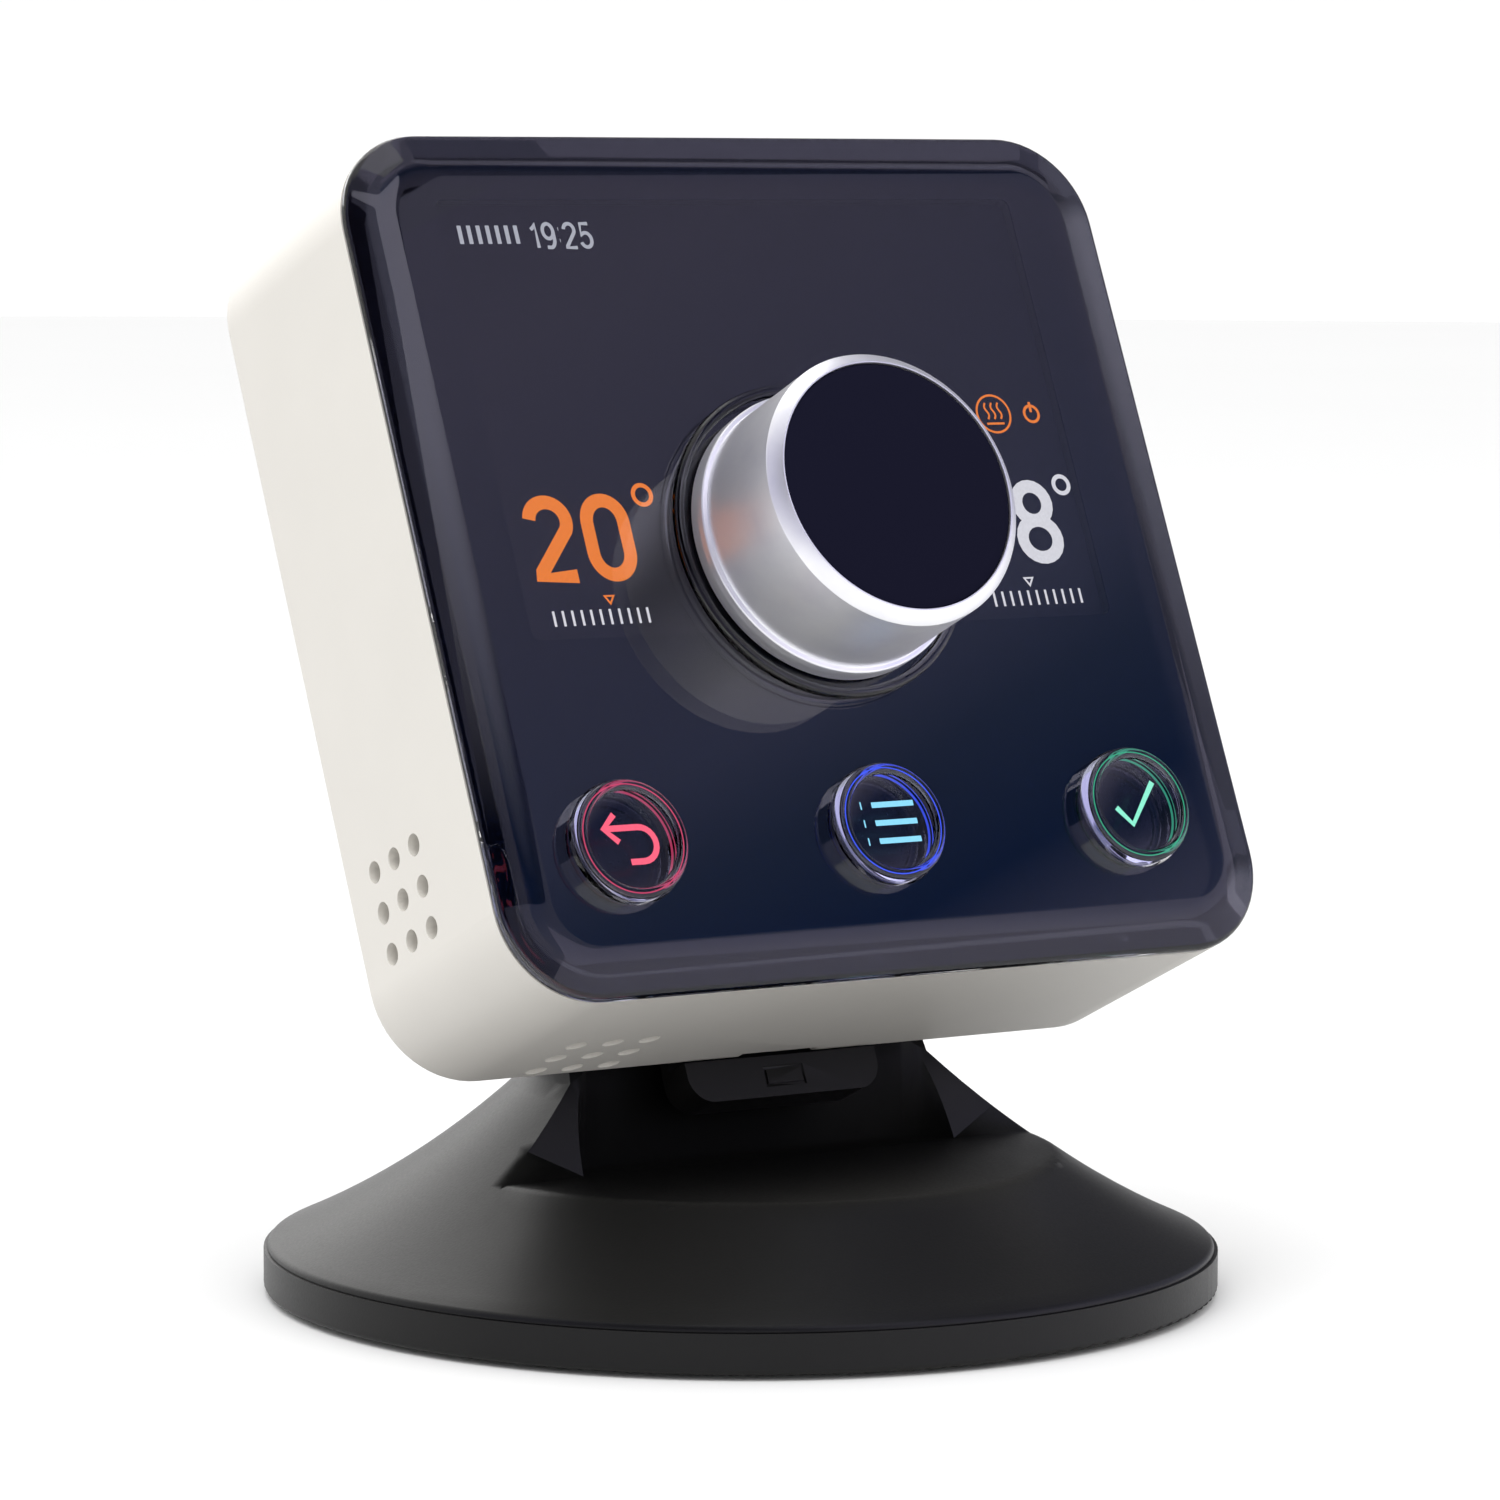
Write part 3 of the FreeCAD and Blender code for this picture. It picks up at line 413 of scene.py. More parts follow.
class Finishes:
    """Every finish, made once."""

    def __init__(self) -> None:
        """Builds the materials by name."""
        recipes = [
            MouldedPlastic("satin_black", (0.0036, 0.0036, 0.0034), 0.40, 0.30 * MM, 0.010 * MM,
                           0.08, 0.27),
            MouldedPlastic("plain_black", (0.0060, 0.0058, 0.0055), 0.36, 0.5 * MM, 0.006 * MM, 0.05, 0.2),
            MouldedPlastic("warm_white", (0.84, 0.81, 0.755), 0.42, 0.35 * MM, 0.006 * MM, 0.012, 0.4),
            MouldedPlastic("chassis_black", (0.008, 0.008, 0.012), 0.6, 0.4 * MM, 0.01 * MM, 0.05, 0.2),
            MouldedPlastic("milky_white", (0.82, 0.82, 0.80), 0.55, 0.4 * MM, 0.006 * MM, 0.02),
            MouldedPlastic("amber_ribbon", (0.42, 0.20, 0.04), 0.35, 0.8 * MM, 0.004 * MM, 0.10),
            MouldedPlastic("chip_epoxy", (0.014, 0.014, 0.015), 0.55, 0.15 * MM, 0.012 * MM, 0.06),
            MouldedPlastic("switch_black", (0.02, 0.02, 0.022), 0.45, 0.2 * MM, 0.006 * MM, 0.05),
            MouldedPlastic("sensor_resin", (0.04, 0.03, 0.02), 0.25, 0.8 * MM, 0.01 * MM, 0.1),
            MouldedPlastic("foot_rubber", (0.018, 0.018, 0.018), 0.8, 0.35 * MM, 0.03 * MM, 0.1, 0.3),
            MouldedPlastic("film_black", (0.004, 0.004, 0.008), 0.25, 0.4 * MM, 0.002 * MM, 0.05, 0.3),
            # Navy print on the lens mask, with a painted reflection: paler at the display's top, darker at
            # its bottom.
            DarkFaceWithPaintedReflection("navy_print", (0.0080, 0.0080, 0.0130), (0.0010, 0.0030, 0.0120)),
            # Display glass with a painted reflection: lighter at the display's bottom, darker at its top.
            DarkFaceWithPaintedReflection("display_glass", (0.0040, 0.0040, 0.0080), (0.0240, 0.0240, 0.0360)),
            # Dark dial cap with a painted reflection: a slight gradient up the display, lighter at its top.
            DarkFaceWithPaintedReflection("dark_cap_painted_reflection", (0.0110, 0.0110, 0.0240), (0.0080, 0.0080, 0.0200)),
            ClearPlastic("clear_front"),
            ClearPlastic("clear_cap", (0.44, 0.45, 0.58)),
            TurnedMetal("satin_aluminium", (0.95, 0.95, 0.99), 0.42, 0.06 * MM, 0.002 * MM, 0.88),
            TurnedMetal("bright_bevel", (0.76, 0.75, 0.73), 0.20, 0.04 * MM, 0.001 * MM),
            PlatedMetal("zinc_plate", (0.62, 0.62, 0.63)),
            PlatedMetal("nickel_plate", (0.68, 0.65, 0.60), 0.25),
            PlatedMetal("tinned_can", (0.60, 0.60, 0.58), 0.38),
            PlatedMetal("oiled_steel", (0.22, 0.22, 0.23), 0.40),
            CircuitBoard("board_green", (0.010, 0.085, 0.035), (0.05, 0.22, 0.07)),
            CellSleeve("cell_forward", False),
            CellSleeve("cell_reversed", True),
            Glow("lit_orange", (1.0, 0.245, 0.015), 0.92),
            Glow("lit_white", (0.80, 0.80, 0.84), 0.95),
            Glow("lit_grey", (0.52, 0.54, 0.60), 0.85),
            Glow("lit_red", (1.0, 0.13, 0.19), 1.7),
            Glow("lit_cyan", (0.30, 0.78, 0.95), 1.6),
            Glow("lit_green", (0.30, 0.95, 0.62), 1.6),
            Glow("dim_red", (0.95, 0.10, 0.20), 1.0),
            Glow("dim_blue", (0.06, 0.12, 0.95), 1.5),
            Glow("dim_green", (0.08, 0.70, 0.35), 0.9),
        ]
        self.made: Dict[str, Material] = {recipe.name: recipe.build() for recipe in recipes}

    def __getitem__(self, name: str) -> Material:
        """The material of that name."""
        return self.made[name]


# ------------------------------------------------------------------ mesh helpers
def link(name: str, mesh: bpy.types.Mesh) -> Piece:
    """Puts a mesh into the scene as an object at the origin."""
    piece = bpy.data.objects.new(name, mesh)
    bpy.context.scene.collection.objects.link(piece)
    return piece


def finish_mesh(build: bmesh.types.BMesh, name: str, place: Matrix, smooth: Optional[float]) -> Piece:
    """Closes, turns outwards, places and shades a mesh.

    Args:
        build: the mesh under construction, freed here.
        name: the piece's name.
        place: matrix into the row frame.
        smooth: angle in degrees under which edges are smooth, or None for flat.

    Returns:
        The piece.
    """
    bmesh.ops.remove_doubles(build, verts=build.verts, dist=1e-6)
    bmesh.ops.recalc_face_normals(build, faces=build.faces)
    build.transform(place)
    mesh = bpy.data.meshes.new(name)
    build.to_mesh(mesh)
    build.free()
    if smooth is not None:
        mesh.shade_smooth()
        mesh.set_sharp_from_angle(angle=math.radians(smooth))
    return link(name, mesh)


def settle(piece: Piece, coats: Sequence[Material], body: Body, slot: str,
           replaces: Sequence[str] = ()) -> None:
    """Dresses a piece, hangs it on the body that it rides on, hides the nodes that it stands for and logs
    its slot.

    Args:
        piece: the finished piece.
        coats: its materials, in slot order.
        body: the body that carries it.
        slot: the record's material slot.
        replaces: CAD nodes that it hides.
    """
    dress(piece, coats)
    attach(piece, body.value)
    if replaces:
        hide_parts(*replaces)
    LOG.info("%s rides on %s, slot %s, stands for %s", piece.name, body.value, slot, list(replaces))


def dress(piece: Piece, coats: Sequence[Material]) -> None:
    """Gives a piece its materials, in slot order."""
    piece.data.materials.clear()
    for coat in coats:
        piece.data.materials.append(coat)


def baked(piece: Piece) -> Piece:
    """Turns a piece and its modifiers into one plain mesh.

    Args:
        piece: an object with live modifiers, or a curve or text.

    Returns:
        A mesh object of the same name; the first one is removed.
    """
    graph = bpy.context.evaluated_depsgraph_get()
    mesh = bpy.data.meshes.new_from_object(piece.evaluated_get(graph))
    mesh.transform(piece.matrix_world)
    name = piece.name
    bpy.data.objects.remove(piece)
    mesh.name = name
    return link(name, mesh)


def smooth_copy(node: str, flat_first: bool = True, angle: float = 20.0) -> Piece:
    """Merged and smoothly shaded copy of a CAD node.

    Args:
        node: the node's name.
        flat_first: whether large faces keep their own normals beside small ones.
        angle: edges under this many degrees are smooth.

    Returns:
        The copy, not yet riding on anything.
    """
    build = bmesh.new()
    build.from_mesh(frame["nodes"][node].data)
    bmesh.ops.remove_doubles(build, verts=build.verts, dist=2e-6)
    mesh = bpy.data.meshes.new(node + "_smooth")
    build.to_mesh(mesh)
    build.free()
    mesh.shade_smooth()
    mesh.set_sharp_from_angle(angle=math.radians(angle))
    copy = link(node + "_smooth", mesh)
    if not flat_first:
        return copy
    weighted = copy.modifiers.new("weighted", "WEIGHTED_NORMAL")
    weighted.mode = "FACE_AREA"
    weighted.weight = 100
    weighted.keep_sharp = True
    return baked(copy)


def lathe(name: str, profile: Sequence[Point], segments: int, place: Matrix, smooth: float = 35.0) -> Piece:
    """Closed solid of revolution about z.

    Args:
        name: the piece's name.
        profile: (radius, height) points round the section; a radius of 0 is on the axis.
        segments: steps round the axis.
        place: matrix into the row frame.
        smooth: edges under this many degrees are smooth.

    Returns:
        The piece.
    """
    build = bmesh.new()
    rings: List[List[bmesh.types.BMVert]] = []
    for radius, height in profile:
        if radius < 1e-9:
            rings.append([build.verts.new((0.0, 0.0, height))])
            continue
        steps = [2.0 * math.pi * i / segments for i in range(segments)]
        rings.append([build.verts.new((radius * math.cos(a), radius * math.sin(a), height)) for a in steps])
    closed = profile[0][0] > 1e-9 or profile[-1][0] > 1e-9
    count = len(rings) if closed else len(rings) - 1
    for k in range(count):
        a, b = rings[k], rings[(k + 1) % len(rings)]
        for i in range(segments):
            j = (i + 1) % segments
            corners = [a[i % len(a)], a[j % len(a)], b[j % len(b)], b[i % len(b)]]
            unique = list(dict.fromkeys(corners))
            if len(unique) > 2:
                build.faces.new(unique)
    return finish_mesh(build, name, place, smooth)


def arc(centre: Point, radius: float, start: float, end: float, steps: int = 6) -> List[Point]:
    """Points along a circular arc, angles in degrees."""
    angles = [math.radians(start + (end - start) * i / steps) for i in range(steps + 1)]
    return [(centre[0] + radius * math.cos(a), centre[1] + radius * math.sin(a)) for a in angles]


def rounded_outline(half_w: float, half_h: float, radius: float, steps: int = 14) -> List[Point]:
    """Outline of a rectangle with rounded corners, anticlockwise."""
    points: List[Point] = []
    for quarter, (sx, sy) in enumerate([(1, 1), (-1, 1), (-1, -1), (1, -1)]):
        centre = (sx * (half_w - radius), sy * (half_h - radius))
        points += arc(centre, radius, 90.0 * quarter, 90.0 * quarter + 90.0, steps)
    return points


def tube_line(name: str, lines: Iterable[Sequence[Point]], width: float, height: float,
              closed: bool = False) -> Piece:
    """Flattened round bars along lines in the plane, as one mesh at the origin.

    Args:
        name: the piece's name.
        lines: lines of points, each drawn as one bar, in millimetres.
        width: width of a bar in millimetres.
        height: thickness of a bar in millimetres.
        closed: whether each line is a loop.

    Returns:
        The mesh object, flat on z = 0.
    """
    curve = bpy.data.curves.new(name, "CURVE")
    curve.dimensions = "3D"
    curve.bevel_depth = 0.5 * width * MM
    curve.bevel_resolution = 3
    curve.use_fill_caps = True
    for points in lines:
        spline = curve.splines.new("POLY")
        spline.points.add(len(points) - 1)
        for target, (x, y) in zip(spline.points, points):
            target.co = (x * MM, y * MM, 0.0, 1.0)
        spline.use_cyclic_u = closed
    piece = baked(link_curve(name, curve))
    piece.data.transform(Matrix.Diagonal((1.0, 1.0, height / width, 1.0)))
    return piece


def link_curve(name: str, curve: bpy.types.Curve) -> Piece:
    """Puts a curve or text into the scene."""
    piece = bpy.data.objects.new(name, curve)
    bpy.context.scene.collection.objects.link(piece)
    bpy.context.view_layer.update()
    return piece


def sealed(piece: Piece, place: Matrix) -> Piece:
    """Merges a flat drawing's doubles, turns its faces out and sets it into the row frame."""
    build = bmesh.new()
    build.from_mesh(piece.data)
    bmesh.ops.remove_doubles(build, verts=build.verts, dist=1e-7)
    bmesh.ops.recalc_face_normals(build, faces=build.faces)
    build.transform(place)
    build.to_mesh(piece.data)
    build.free()
    return piece


def joined(name: str, pieces: Sequence[Piece]) -> Piece:
    """One mesh out of several, which are removed."""
    build = bmesh.new()
    for piece in pieces:
        build.from_mesh(piece.data)
        bpy.data.objects.remove(piece)
    mesh = bpy.data.meshes.new(name)
    build.to_mesh(mesh)
    build.free()
    return link(name, mesh)


def light_up(piece: Piece, name: str, place: Matrix, coat: Material, body: Body, slot: str) -> None:
    """Sets a lit drawing in its place, left out of reflections.

    Args:
        piece: the drawing at the origin.
        name: the piece's name.
        place: matrix into the row frame.
        coat: its lit material.
        body: the body that carries it.
        slot: the record's material slot.
    """
    piece.name = name
    sealed(piece, place)
    piece.visible_glossy = False
    settle(piece, [coat], body, slot)


def in_head(x: float = 0.0, y: float = 0.0, z: float = 0.0) -> Matrix:
    """Head place shifted by head coordinates in millimetres."""
    return HEAD @ Matrix.Translation(Vector((x, y, z)) * MM)


# ------------------------------------------------------------------ repeating trees
class CopyTree:
    """Geometry Nodes tree that copies a shape, makes the copies real and paints them."""

    def __init__(self, name: str, inputs: Dict[str, str]) -> None:
        """Makes the tree's inputs and its last nodes.

        Args:
            name: the tree's name.
            inputs: name and kind of each input after the geometry.
        """
        self.tree = bpy.data.node_groups.new(name, "GeometryNodeTree")
        face = self.tree.interface
        self.keys: Dict[str, str] = {}
        for key, kind in {"Geometry": "Geometry", **inputs}.items():
            socket = face.new_socket(key, in_out="INPUT", socket_type="NodeSocket" + kind)
            self.keys[key] = socket.identifier
        face.new_socket("Geometry", in_out="OUTPUT", socket_type="NodeSocketGeometry")
        self.given = self.tree.nodes.new("NodeGroupInput").outputs
        self.copies = self.node("InstanceOnPoints", {})
        real = self.node("RealizeInstances", {"Geometry": self.copies.outputs["Instances"]})
        shape = real.outputs["Geometry"]
        paint = self.node("SetMaterial", {"Geometry": shape, "Material": self.given["Finish"]})
        result = self.tree.nodes.new("NodeGroupOutput")
        self.tree.links.new(paint.outputs["Geometry"], result.inputs["Geometry"])

    def node(self, kind: str, feeds: Dict[str, Socket]) -> bpy.types.Node:
        """New node of that kind, with what feeds its inputs."""
        node = self.tree.nodes.new("GeometryNode" + kind)
        self.feed(node, feeds)
        return node

    def feed(self, node: bpy.types.Node, feeds: Dict[str, Socket]) -> None:
        """Links a node's inputs."""
        for entry, source in feeds.items():
            self.tree.links.new(source, node.inputs[entry])

    def run(self, piece: Piece, values: Dict[str, object]) -> Piece:
        """Runs the tree on a piece and turns the result into a plain mesh.

        Args:
            piece: the tree's geometry.
            values: the tree's other inputs.

        Returns:
            The copies as one piece.
        """
        modifier = piece.modifiers.new("copies", "NODES")
        modifier.node_group = self.tree
        for key, value in values.items():
            modifier[self.keys[key]] = value
        return baked(piece)


class RowTree(CopyTree):
    """Repeats a shape along a straight step."""

    def __init__(self) -> None:
        """Builds the tree."""
        super().__init__("row_of_copies", {"Count": "Int", "Step": "Vector", "Finish": "Material"})
        line = self.node("MeshLine", {"Count": self.given["Count"], "Offset": self.given["Step"]})
        self.feed(self.copies, {"Points": line.outputs["Mesh"], "Instance": self.given["Geometry"]})

    def repeat(self, piece: Piece, count: int, step: Sequence[float], finish: Material) -> Piece:
        """Row of a piece, its step in millimetres."""
        offset = Vector([part * MM for part in step])
        return self.run(piece, {"Count": count, "Step": offset, "Finish": finish})


@dataclass(frozen=True)
class Patch:
    """Rectangle of the board, in head millimetres, and the seed of the parts strewn over it."""

    x0: float
    x1: float
    y0: float
    y1: float
    seed: int

    def sheet(self, name: str) -> Piece:
        """Flat mesh of the rectangle."""
        corners = [(self.x0, self.y0), (self.x1, self.y0), (self.x1, self.y1), (self.x0, self.y1)]
        mesh = bpy.data.meshes.new(name)
        mesh.from_pydata([(x * MM, y * MM, 0.0) for x, y in corners], [], [(0, 1, 2, 3)])
        return link(name, mesh)


class ScatterTree(CopyTree):
    """Strews blocks over a flat mesh with a fixed seed."""

    spacing: float = 4.2 * MM
    density: float = 60000.0

    def __init__(self) -> None:
        """Builds the tree."""
        super().__init__("scattered_parts", {"Spacing": "Float", "Density": "Float", "Seed": "Int",
                                             "Size": "Vector", "Finish": "Material"})
        strew = self.node("DistributePointsOnFaces", {})
        strew.distribute_method = "POISSON"
        self.feed(strew, {"Mesh": self.given["Geometry"], "Distance Min": self.given["Spacing"],
                          "Density Max": self.given["Density"], "Seed": self.given["Seed"]})
        block = self.node("MeshCube", {"Size": self.given["Size"]})
        self.feed(self.copies, {"Points": strew.outputs["Points"], "Instance": block.outputs["Mesh"]})

    def strew(self, name: str, patch: Patch, size: Colour, finish: Material) -> Piece:
        """Strews blocks over a patch.

        Args:
            name: the piece's name.
            patch: where, and the draw's seed.
            size: a block's sides in metres.
            finish: the blocks' material.

        Returns:
            The blocks as one piece on z = 0, in head coordinates.
        """
        values = {"Spacing": self.spacing, "Density": self.density, "Seed": patch.seed,
                  "Size": size, "Finish": finish}
        return self.run(patch.sheet(name), values)


# ------------------------------------------------------------------ stand
@dataclass
class Stand:
    """Round weighted stand with its mount plate and release tab."""

    finishes: Finishes

    def build(self) -> None:
        """Copies each visible node with smooth shading."""
        rows = [("stand_shell", False, "satin_black", Body.STAND, "stand_black"),
                ("base_cover", False, "satin_black", Body.STAND, "stand_black"),
                ("mount_plate", True, "plain_black", Body.STAND, "plate_black"),
                ("release_latch", True, "plain_black", Body.LATCH, "plate_black")]
        for node, flat_first, finish, body, slot in rows:
            settle(smooth_copy(node, flat_first), [self.finishes[finish]], body, slot, [node])


# ------------------------------------------------------------------ head
@dataclass
class ClearFront:
    """Domed clear front with its dial collar and four holes."""

    finishes: Finishes
    half: float = 48.0 * MM
    corner: float = 10.5 * MM
    back: float = 0.2 * MM
    edge_low: float = 1.0 * MM
    border: float = 4.2 * MM
    edge_round: float = 0.9 * MM
    crown_round: float = 7.0 * MM
    top: float = LENS_HEIGHT
    steps: int = 8
    collar_in: float = 16.7 * MM
    collar_out: float = 17.9 * MM
    collar_high: float = 0.9 * MM
    bush_hole: float = 4.75 * MM
    button_hole: float = 6.75 * MM
    button_y: float = -32.0 * MM
    button_pitch: float = 32.2 * MM

    def profile(self) -> List[Point]:
        """(inset, height) points up the rounded border."""
        slope = math.degrees(math.atan2(self.top - self.edge_low, self.border))
        side = self.edge_round * math.tan(math.radians(0.5 * (90.0 - slope)))
        crown = self.crown_round * math.tan(math.radians(0.5 * slope))
        points = [(0.0, self.back)]
        foot = (self.edge_round, self.edge_low - side)
        points += arc(foot, self.edge_round, 180.0, 90.0 + slope, self.steps)
        centre = (self.border + crown, self.top - self.crown_round)
        return points + arc(centre, self.crown_round, 90.0 + slope, 90.0, self.steps)

    def plate(self) -> Piece:
        """The front without its collar and holes, in head coordinates."""
        build = bmesh.new()
        rings = []
        for inset, height in self.profile():
            outline = rounded_outline(self.half - inset, self.half - inset, self.corner - inset)
            rings.append([build.verts.new((x, y, height)) for x, y in outline])
        size = len(rings[0])
        for low, high in zip(rings, rings[1:]):
            for i in range(size):
                build.faces.new((low[i], low[(i + 1) % size], high[(i + 1) % size], high[i]))
        build.faces.new(rings[-1])
        build.faces.new(list(reversed(rings[0])))
        return finish_mesh(build, "front_lens_clear", Matrix.Identity(4), 30.0)

    def carve(self, piece: Piece, tool: Piece, operation: str) -> Piece:
        """Adds or removes one solid.

        Args:
            piece: the solid to change.
            tool: the other solid, removed afterwards.
            operation: UNION or DIFFERENCE.

        Returns:
            The changed solid.
        """
        boolean = piece.modifiers.new("carve", "BOOLEAN")
        boolean.object = tool
        boolean.operation = operation
        boolean.solver = "EXACT"
        bpy.context.view_layer.update()
        changed = baked(piece)
        bpy.data.objects.remove(tool)
        return changed

    def collar(self) -> Piece:
        """Raised ring round the dial, in head coordinates."""
        low = self.top - 0.4 * MM
        high = self.top + self.collar_high
        middle = 0.5 * (self.collar_in + self.collar_out)
        radius = 0.5 * (self.collar_out - self.collar_in)
        profile = [(self.collar_in, low)]
        profile += arc((middle, high - radius), radius, 180.0, 0.0, 12)
        profile += [(self.collar_out, low)]
        return lathe("collar_tool", profile, 160, Matrix.Identity(4))

    def hole(self, radius: float, x: float, y: float) -> Piece:
        """Cutter for one hole, in head coordinates."""
        low, high = -1.0 * MM, self.top + 2.0 * MM
        profile = [(0.0, low), (radius, low), (radius, high), (0.0, high)]
        return lathe("hole_tool", profile, 96, Matrix.Translation((x, y, 0.0)))

    def build(self) -> None:
        """Makes the clear front."""
        piece = self.plate()
        piece = self.carve(piece, self.collar(), "UNION")
        places = [(self.bush_hole, 0.0, 0.0)]
        places += [(self.button_hole, side * self.button_pitch, self.button_y) for side in (-1, 0, 1)]
        for radius, x, y in places:
            piece = self.carve(piece, self.hole(radius, x, y), "DIFFERENCE")
        sealed(piece, HEAD)
        piece.data.shade_smooth()
        piece.data.set_sharp_from_angle(angle=math.radians(30.0))
        weighted = piece.modifiers.new("weighted", "WEIGHTED_NORMAL")
        weighted.keep_sharp = True
        weighted.weight = 100
        piece = baked(piece)
        settle(piece, [self.finishes["clear_front"]], Body.HEAD, "clear_lens", ["front_lens"])


def oval(cx: float, cy: float, rx: float, ry: float, start: float, end: float,
         steps: int = 20) -> List[Point]:
    """Points along an elliptical arc in a glyph's unit cell, angles in degrees."""
    return [(cx + rx * x, cy + ry * y) for x, y in arc((0.0, 0.0), 1.0, start, end, steps)]


NUMERAL_GAP = 0.16
GLYPH_ADVANCE = {"1": 0.72, ":": 0.25}
GLYPHS: Dict[str, List[Tuple[List[Point], bool]]] = {
    "0": [(oval(0.5, 0.7, 0.5, 0.3, 0.0, 180.0) + oval(0.5, 0.3, 0.5, 0.3, 180.0, 360.0), True)],
    "1": [([(0.05, 0.76), (0.28, 0.84), (0.5, 1.0), (0.5, 0.0)], False)],
    "2": [(oval(0.5, 0.74, 0.5, 0.26, 172.0, -28.0) + [(0.05, 0.06), (0.0, 0.0), (1.0, 0.0)], False)],
    "5": [([(0.9, 1.0), (0.14, 1.0), (0.06, 0.5)] + oval(0.47, 0.32, 0.53, 0.3, 120.0, -160.0), False)],
    "8": [(oval(0.5, 0.76, 0.43, 0.24, 0.0, 342.0), True),
          (oval(0.5, 0.26, 0.5, 0.26, 0.0, 342.0), True)],
    "9": [(oval(0.5, 0.69, 0.5, 0.31, 0.0, 342.0), True),
          (oval(0.46, 0.36, 0.54, 0.36, 0.0, -75.0) + [(0.18, 0.02)], False),
          ([(1.0, 0.69), (1.0, 0.36)], False)],
    ":": [([(-0.02, 0.3), (0.02, 0.3)], False), ([(-0.02, 0.78), (0.02, 0.78)], False)],
}


@dataclass
class Display:
    """Lit numerals and signs on the display glass."""

    finishes: Finishes
    rows: RowTree
    glass: float = -1.2
    thick: float = 0.05
    tick_step: float = 1.15

    def bar(self, name: str, points: Sequence[Point], width: float, closed: bool = False) -> Piece:
        """One flat bar along points, in millimetres."""
        return tube_line(name, [points], width, self.thick, closed)

    def numerals(self, name: str, words: str, low: Point, high: Point, stroke: float, finish: str) -> None:
        """Numerals drawn with an even stroke inside a rectangle.

        Args:
            name: the piece's name.
            words: digits and colons.
            low: lower left corner in millimetres.
            high: upper right corner in millimetres.
            stroke: stroke width in millimetres.
            finish: the lit finish.
        """
        units = sum(GLYPH_ADVANCE.get(letter, 1.0) for letter in words) + NUMERAL_GAP * (len(words) - 1)
        unit = (high[0] - low[0]) / units
        width, height = unit - stroke, high[1] - low[1] - stroke
        cursor = low[0]
        parts = []
        for letter in words:
            for line, closed in GLYPHS[letter]:
                left, foot = cursor + 0.5 * stroke, low[1] + 0.5 * stroke
                points = [(left + x * width, foot + y * height) for x, y in line]
                parts.append(self.bar(name + "_stroke", points, stroke, closed))
            cursor += unit * (GLYPH_ADVANCE.get(letter, 1.0) + NUMERAL_GAP)
        self.drawing(name, joined(name, parts), 0.0, 0.0, finish)

    def drawing(self, name: str, piece: Piece, x: float, y: float, finish: str) -> None:
        """Sets a drawing onto the glass.

        Args:
            name: the piece's name.
            piece: the drawing at the origin.
            x: place to the right of the front's centre, in millimetres.
            y: place above it, in millimetres.
            finish: the lit finish.
        """
        place = in_head(x, y, self.glass + 0.5 * self.thick + 0.01)
        light_up(piece, name, place, self.finishes[finish], Body.HEAD, "display_glass")

    def ring(self, name: str, radius: float, width: float) -> Piece:
        """Flat ring at the origin, sizes in millimetres."""
        return self.bar(name, arc((0.0, 0.0), radius, 0.0, 360.0 * 39 / 40, 39), width, True)

    def heating_sign(self) -> None:
        """Radiator waves over a line, inside a ring, and a power sign."""
        steps = 10
        wave = [(0.20 * math.sin(2.0 * math.pi * i / steps) - 0.85, (i / steps - 0.5) * 1.9 + 0.35)
                for i in range(steps + 1)]
        first = self.bar("heating_wave", wave, 0.24)
        waves = self.rows.repeat(first, 3, (0.85, 0.0, 0.0), self.finishes["lit_orange"])
        line = self.bar("heating_line", [(-1.15, -1.15), (1.15, -1.15)], 0.26)
        sign = joined("heating_sign", [self.ring("heating_ring", 2.2, 0.26), waves, line])
        self.drawing("heating_sign", sign, 28.9, 15.2, "lit_orange")
        stem = self.bar("on_bar", [(0.0, 0.2), (0.0, 1.4)], 0.34)
        lamp = joined("heating_on", [self.ring("on_ring", 0.95, 0.34), stem])
        self.drawing("heating_on_sign", lamp, 34.0, 15.1, "lit_orange")

    def week_row(self) -> None:
        """Seven day marks."""
        mark = self.bar("day_mark", [(0.0, 0.0), (0.0, 2.1)], 0.5)
        row = self.rows.repeat(mark, 7, (self.tick_step, 0.0, 0.0), self.finishes["lit_grey"])
        self.drawing("day_marks", row, -33.9, 35.9, "lit_grey")

    def scale_marks(self) -> None:
        """Short scale of ticks under each numeral, with a pointer."""
        scales = (("target", -33.0, 7.2, "lit_orange"), ("room", 23.0, 5.1, "lit_white"))
        for name, x, pointer, colour in scales:
            tick = self.bar("tick", [(0.0, 0.0), (0.0, 1.7)], 0.3)
            row = self.rows.repeat(tick, 11, (self.tick_step, 0.0, 0.0), self.finishes["lit_white"])
            self.drawing(name + "_scale_ticks", row, x, -7.3, "lit_white")
            mark = self.bar("pointer", [(-0.55, 0.85), (0.0, 0.0), (0.55, 0.85)], 0.42, True)
            self.drawing(name + "_scale_pointer", mark, x + pointer, -5.0, colour)

    def build(self) -> None:
        """Makes every lit mark."""
        self.numerals("clock_numerals", "19:25", (-25.4, 35.2), (-17.6, 38.4), 0.42, "lit_grey")
        self.numerals("target_numerals", "20", (-34.2, -2.6), (-21.2, 7.3), 1.55, "lit_orange")
        self.drawing("target_degree", self.ring("target_degree_ring", 1.1, 0.5), -18.9, 7.0, "lit_orange")
        self.numerals("room_numerals", "18", (22.6, -2.6), (34.1, 7.3), 1.5, "lit_white")
        self.drawing("room_degree", self.ring("room_degree_ring", 1.0, 0.5), 35.6, 6.6, "lit_white")
        self.heating_sign()
        self.week_row()
        self.scale_marks()


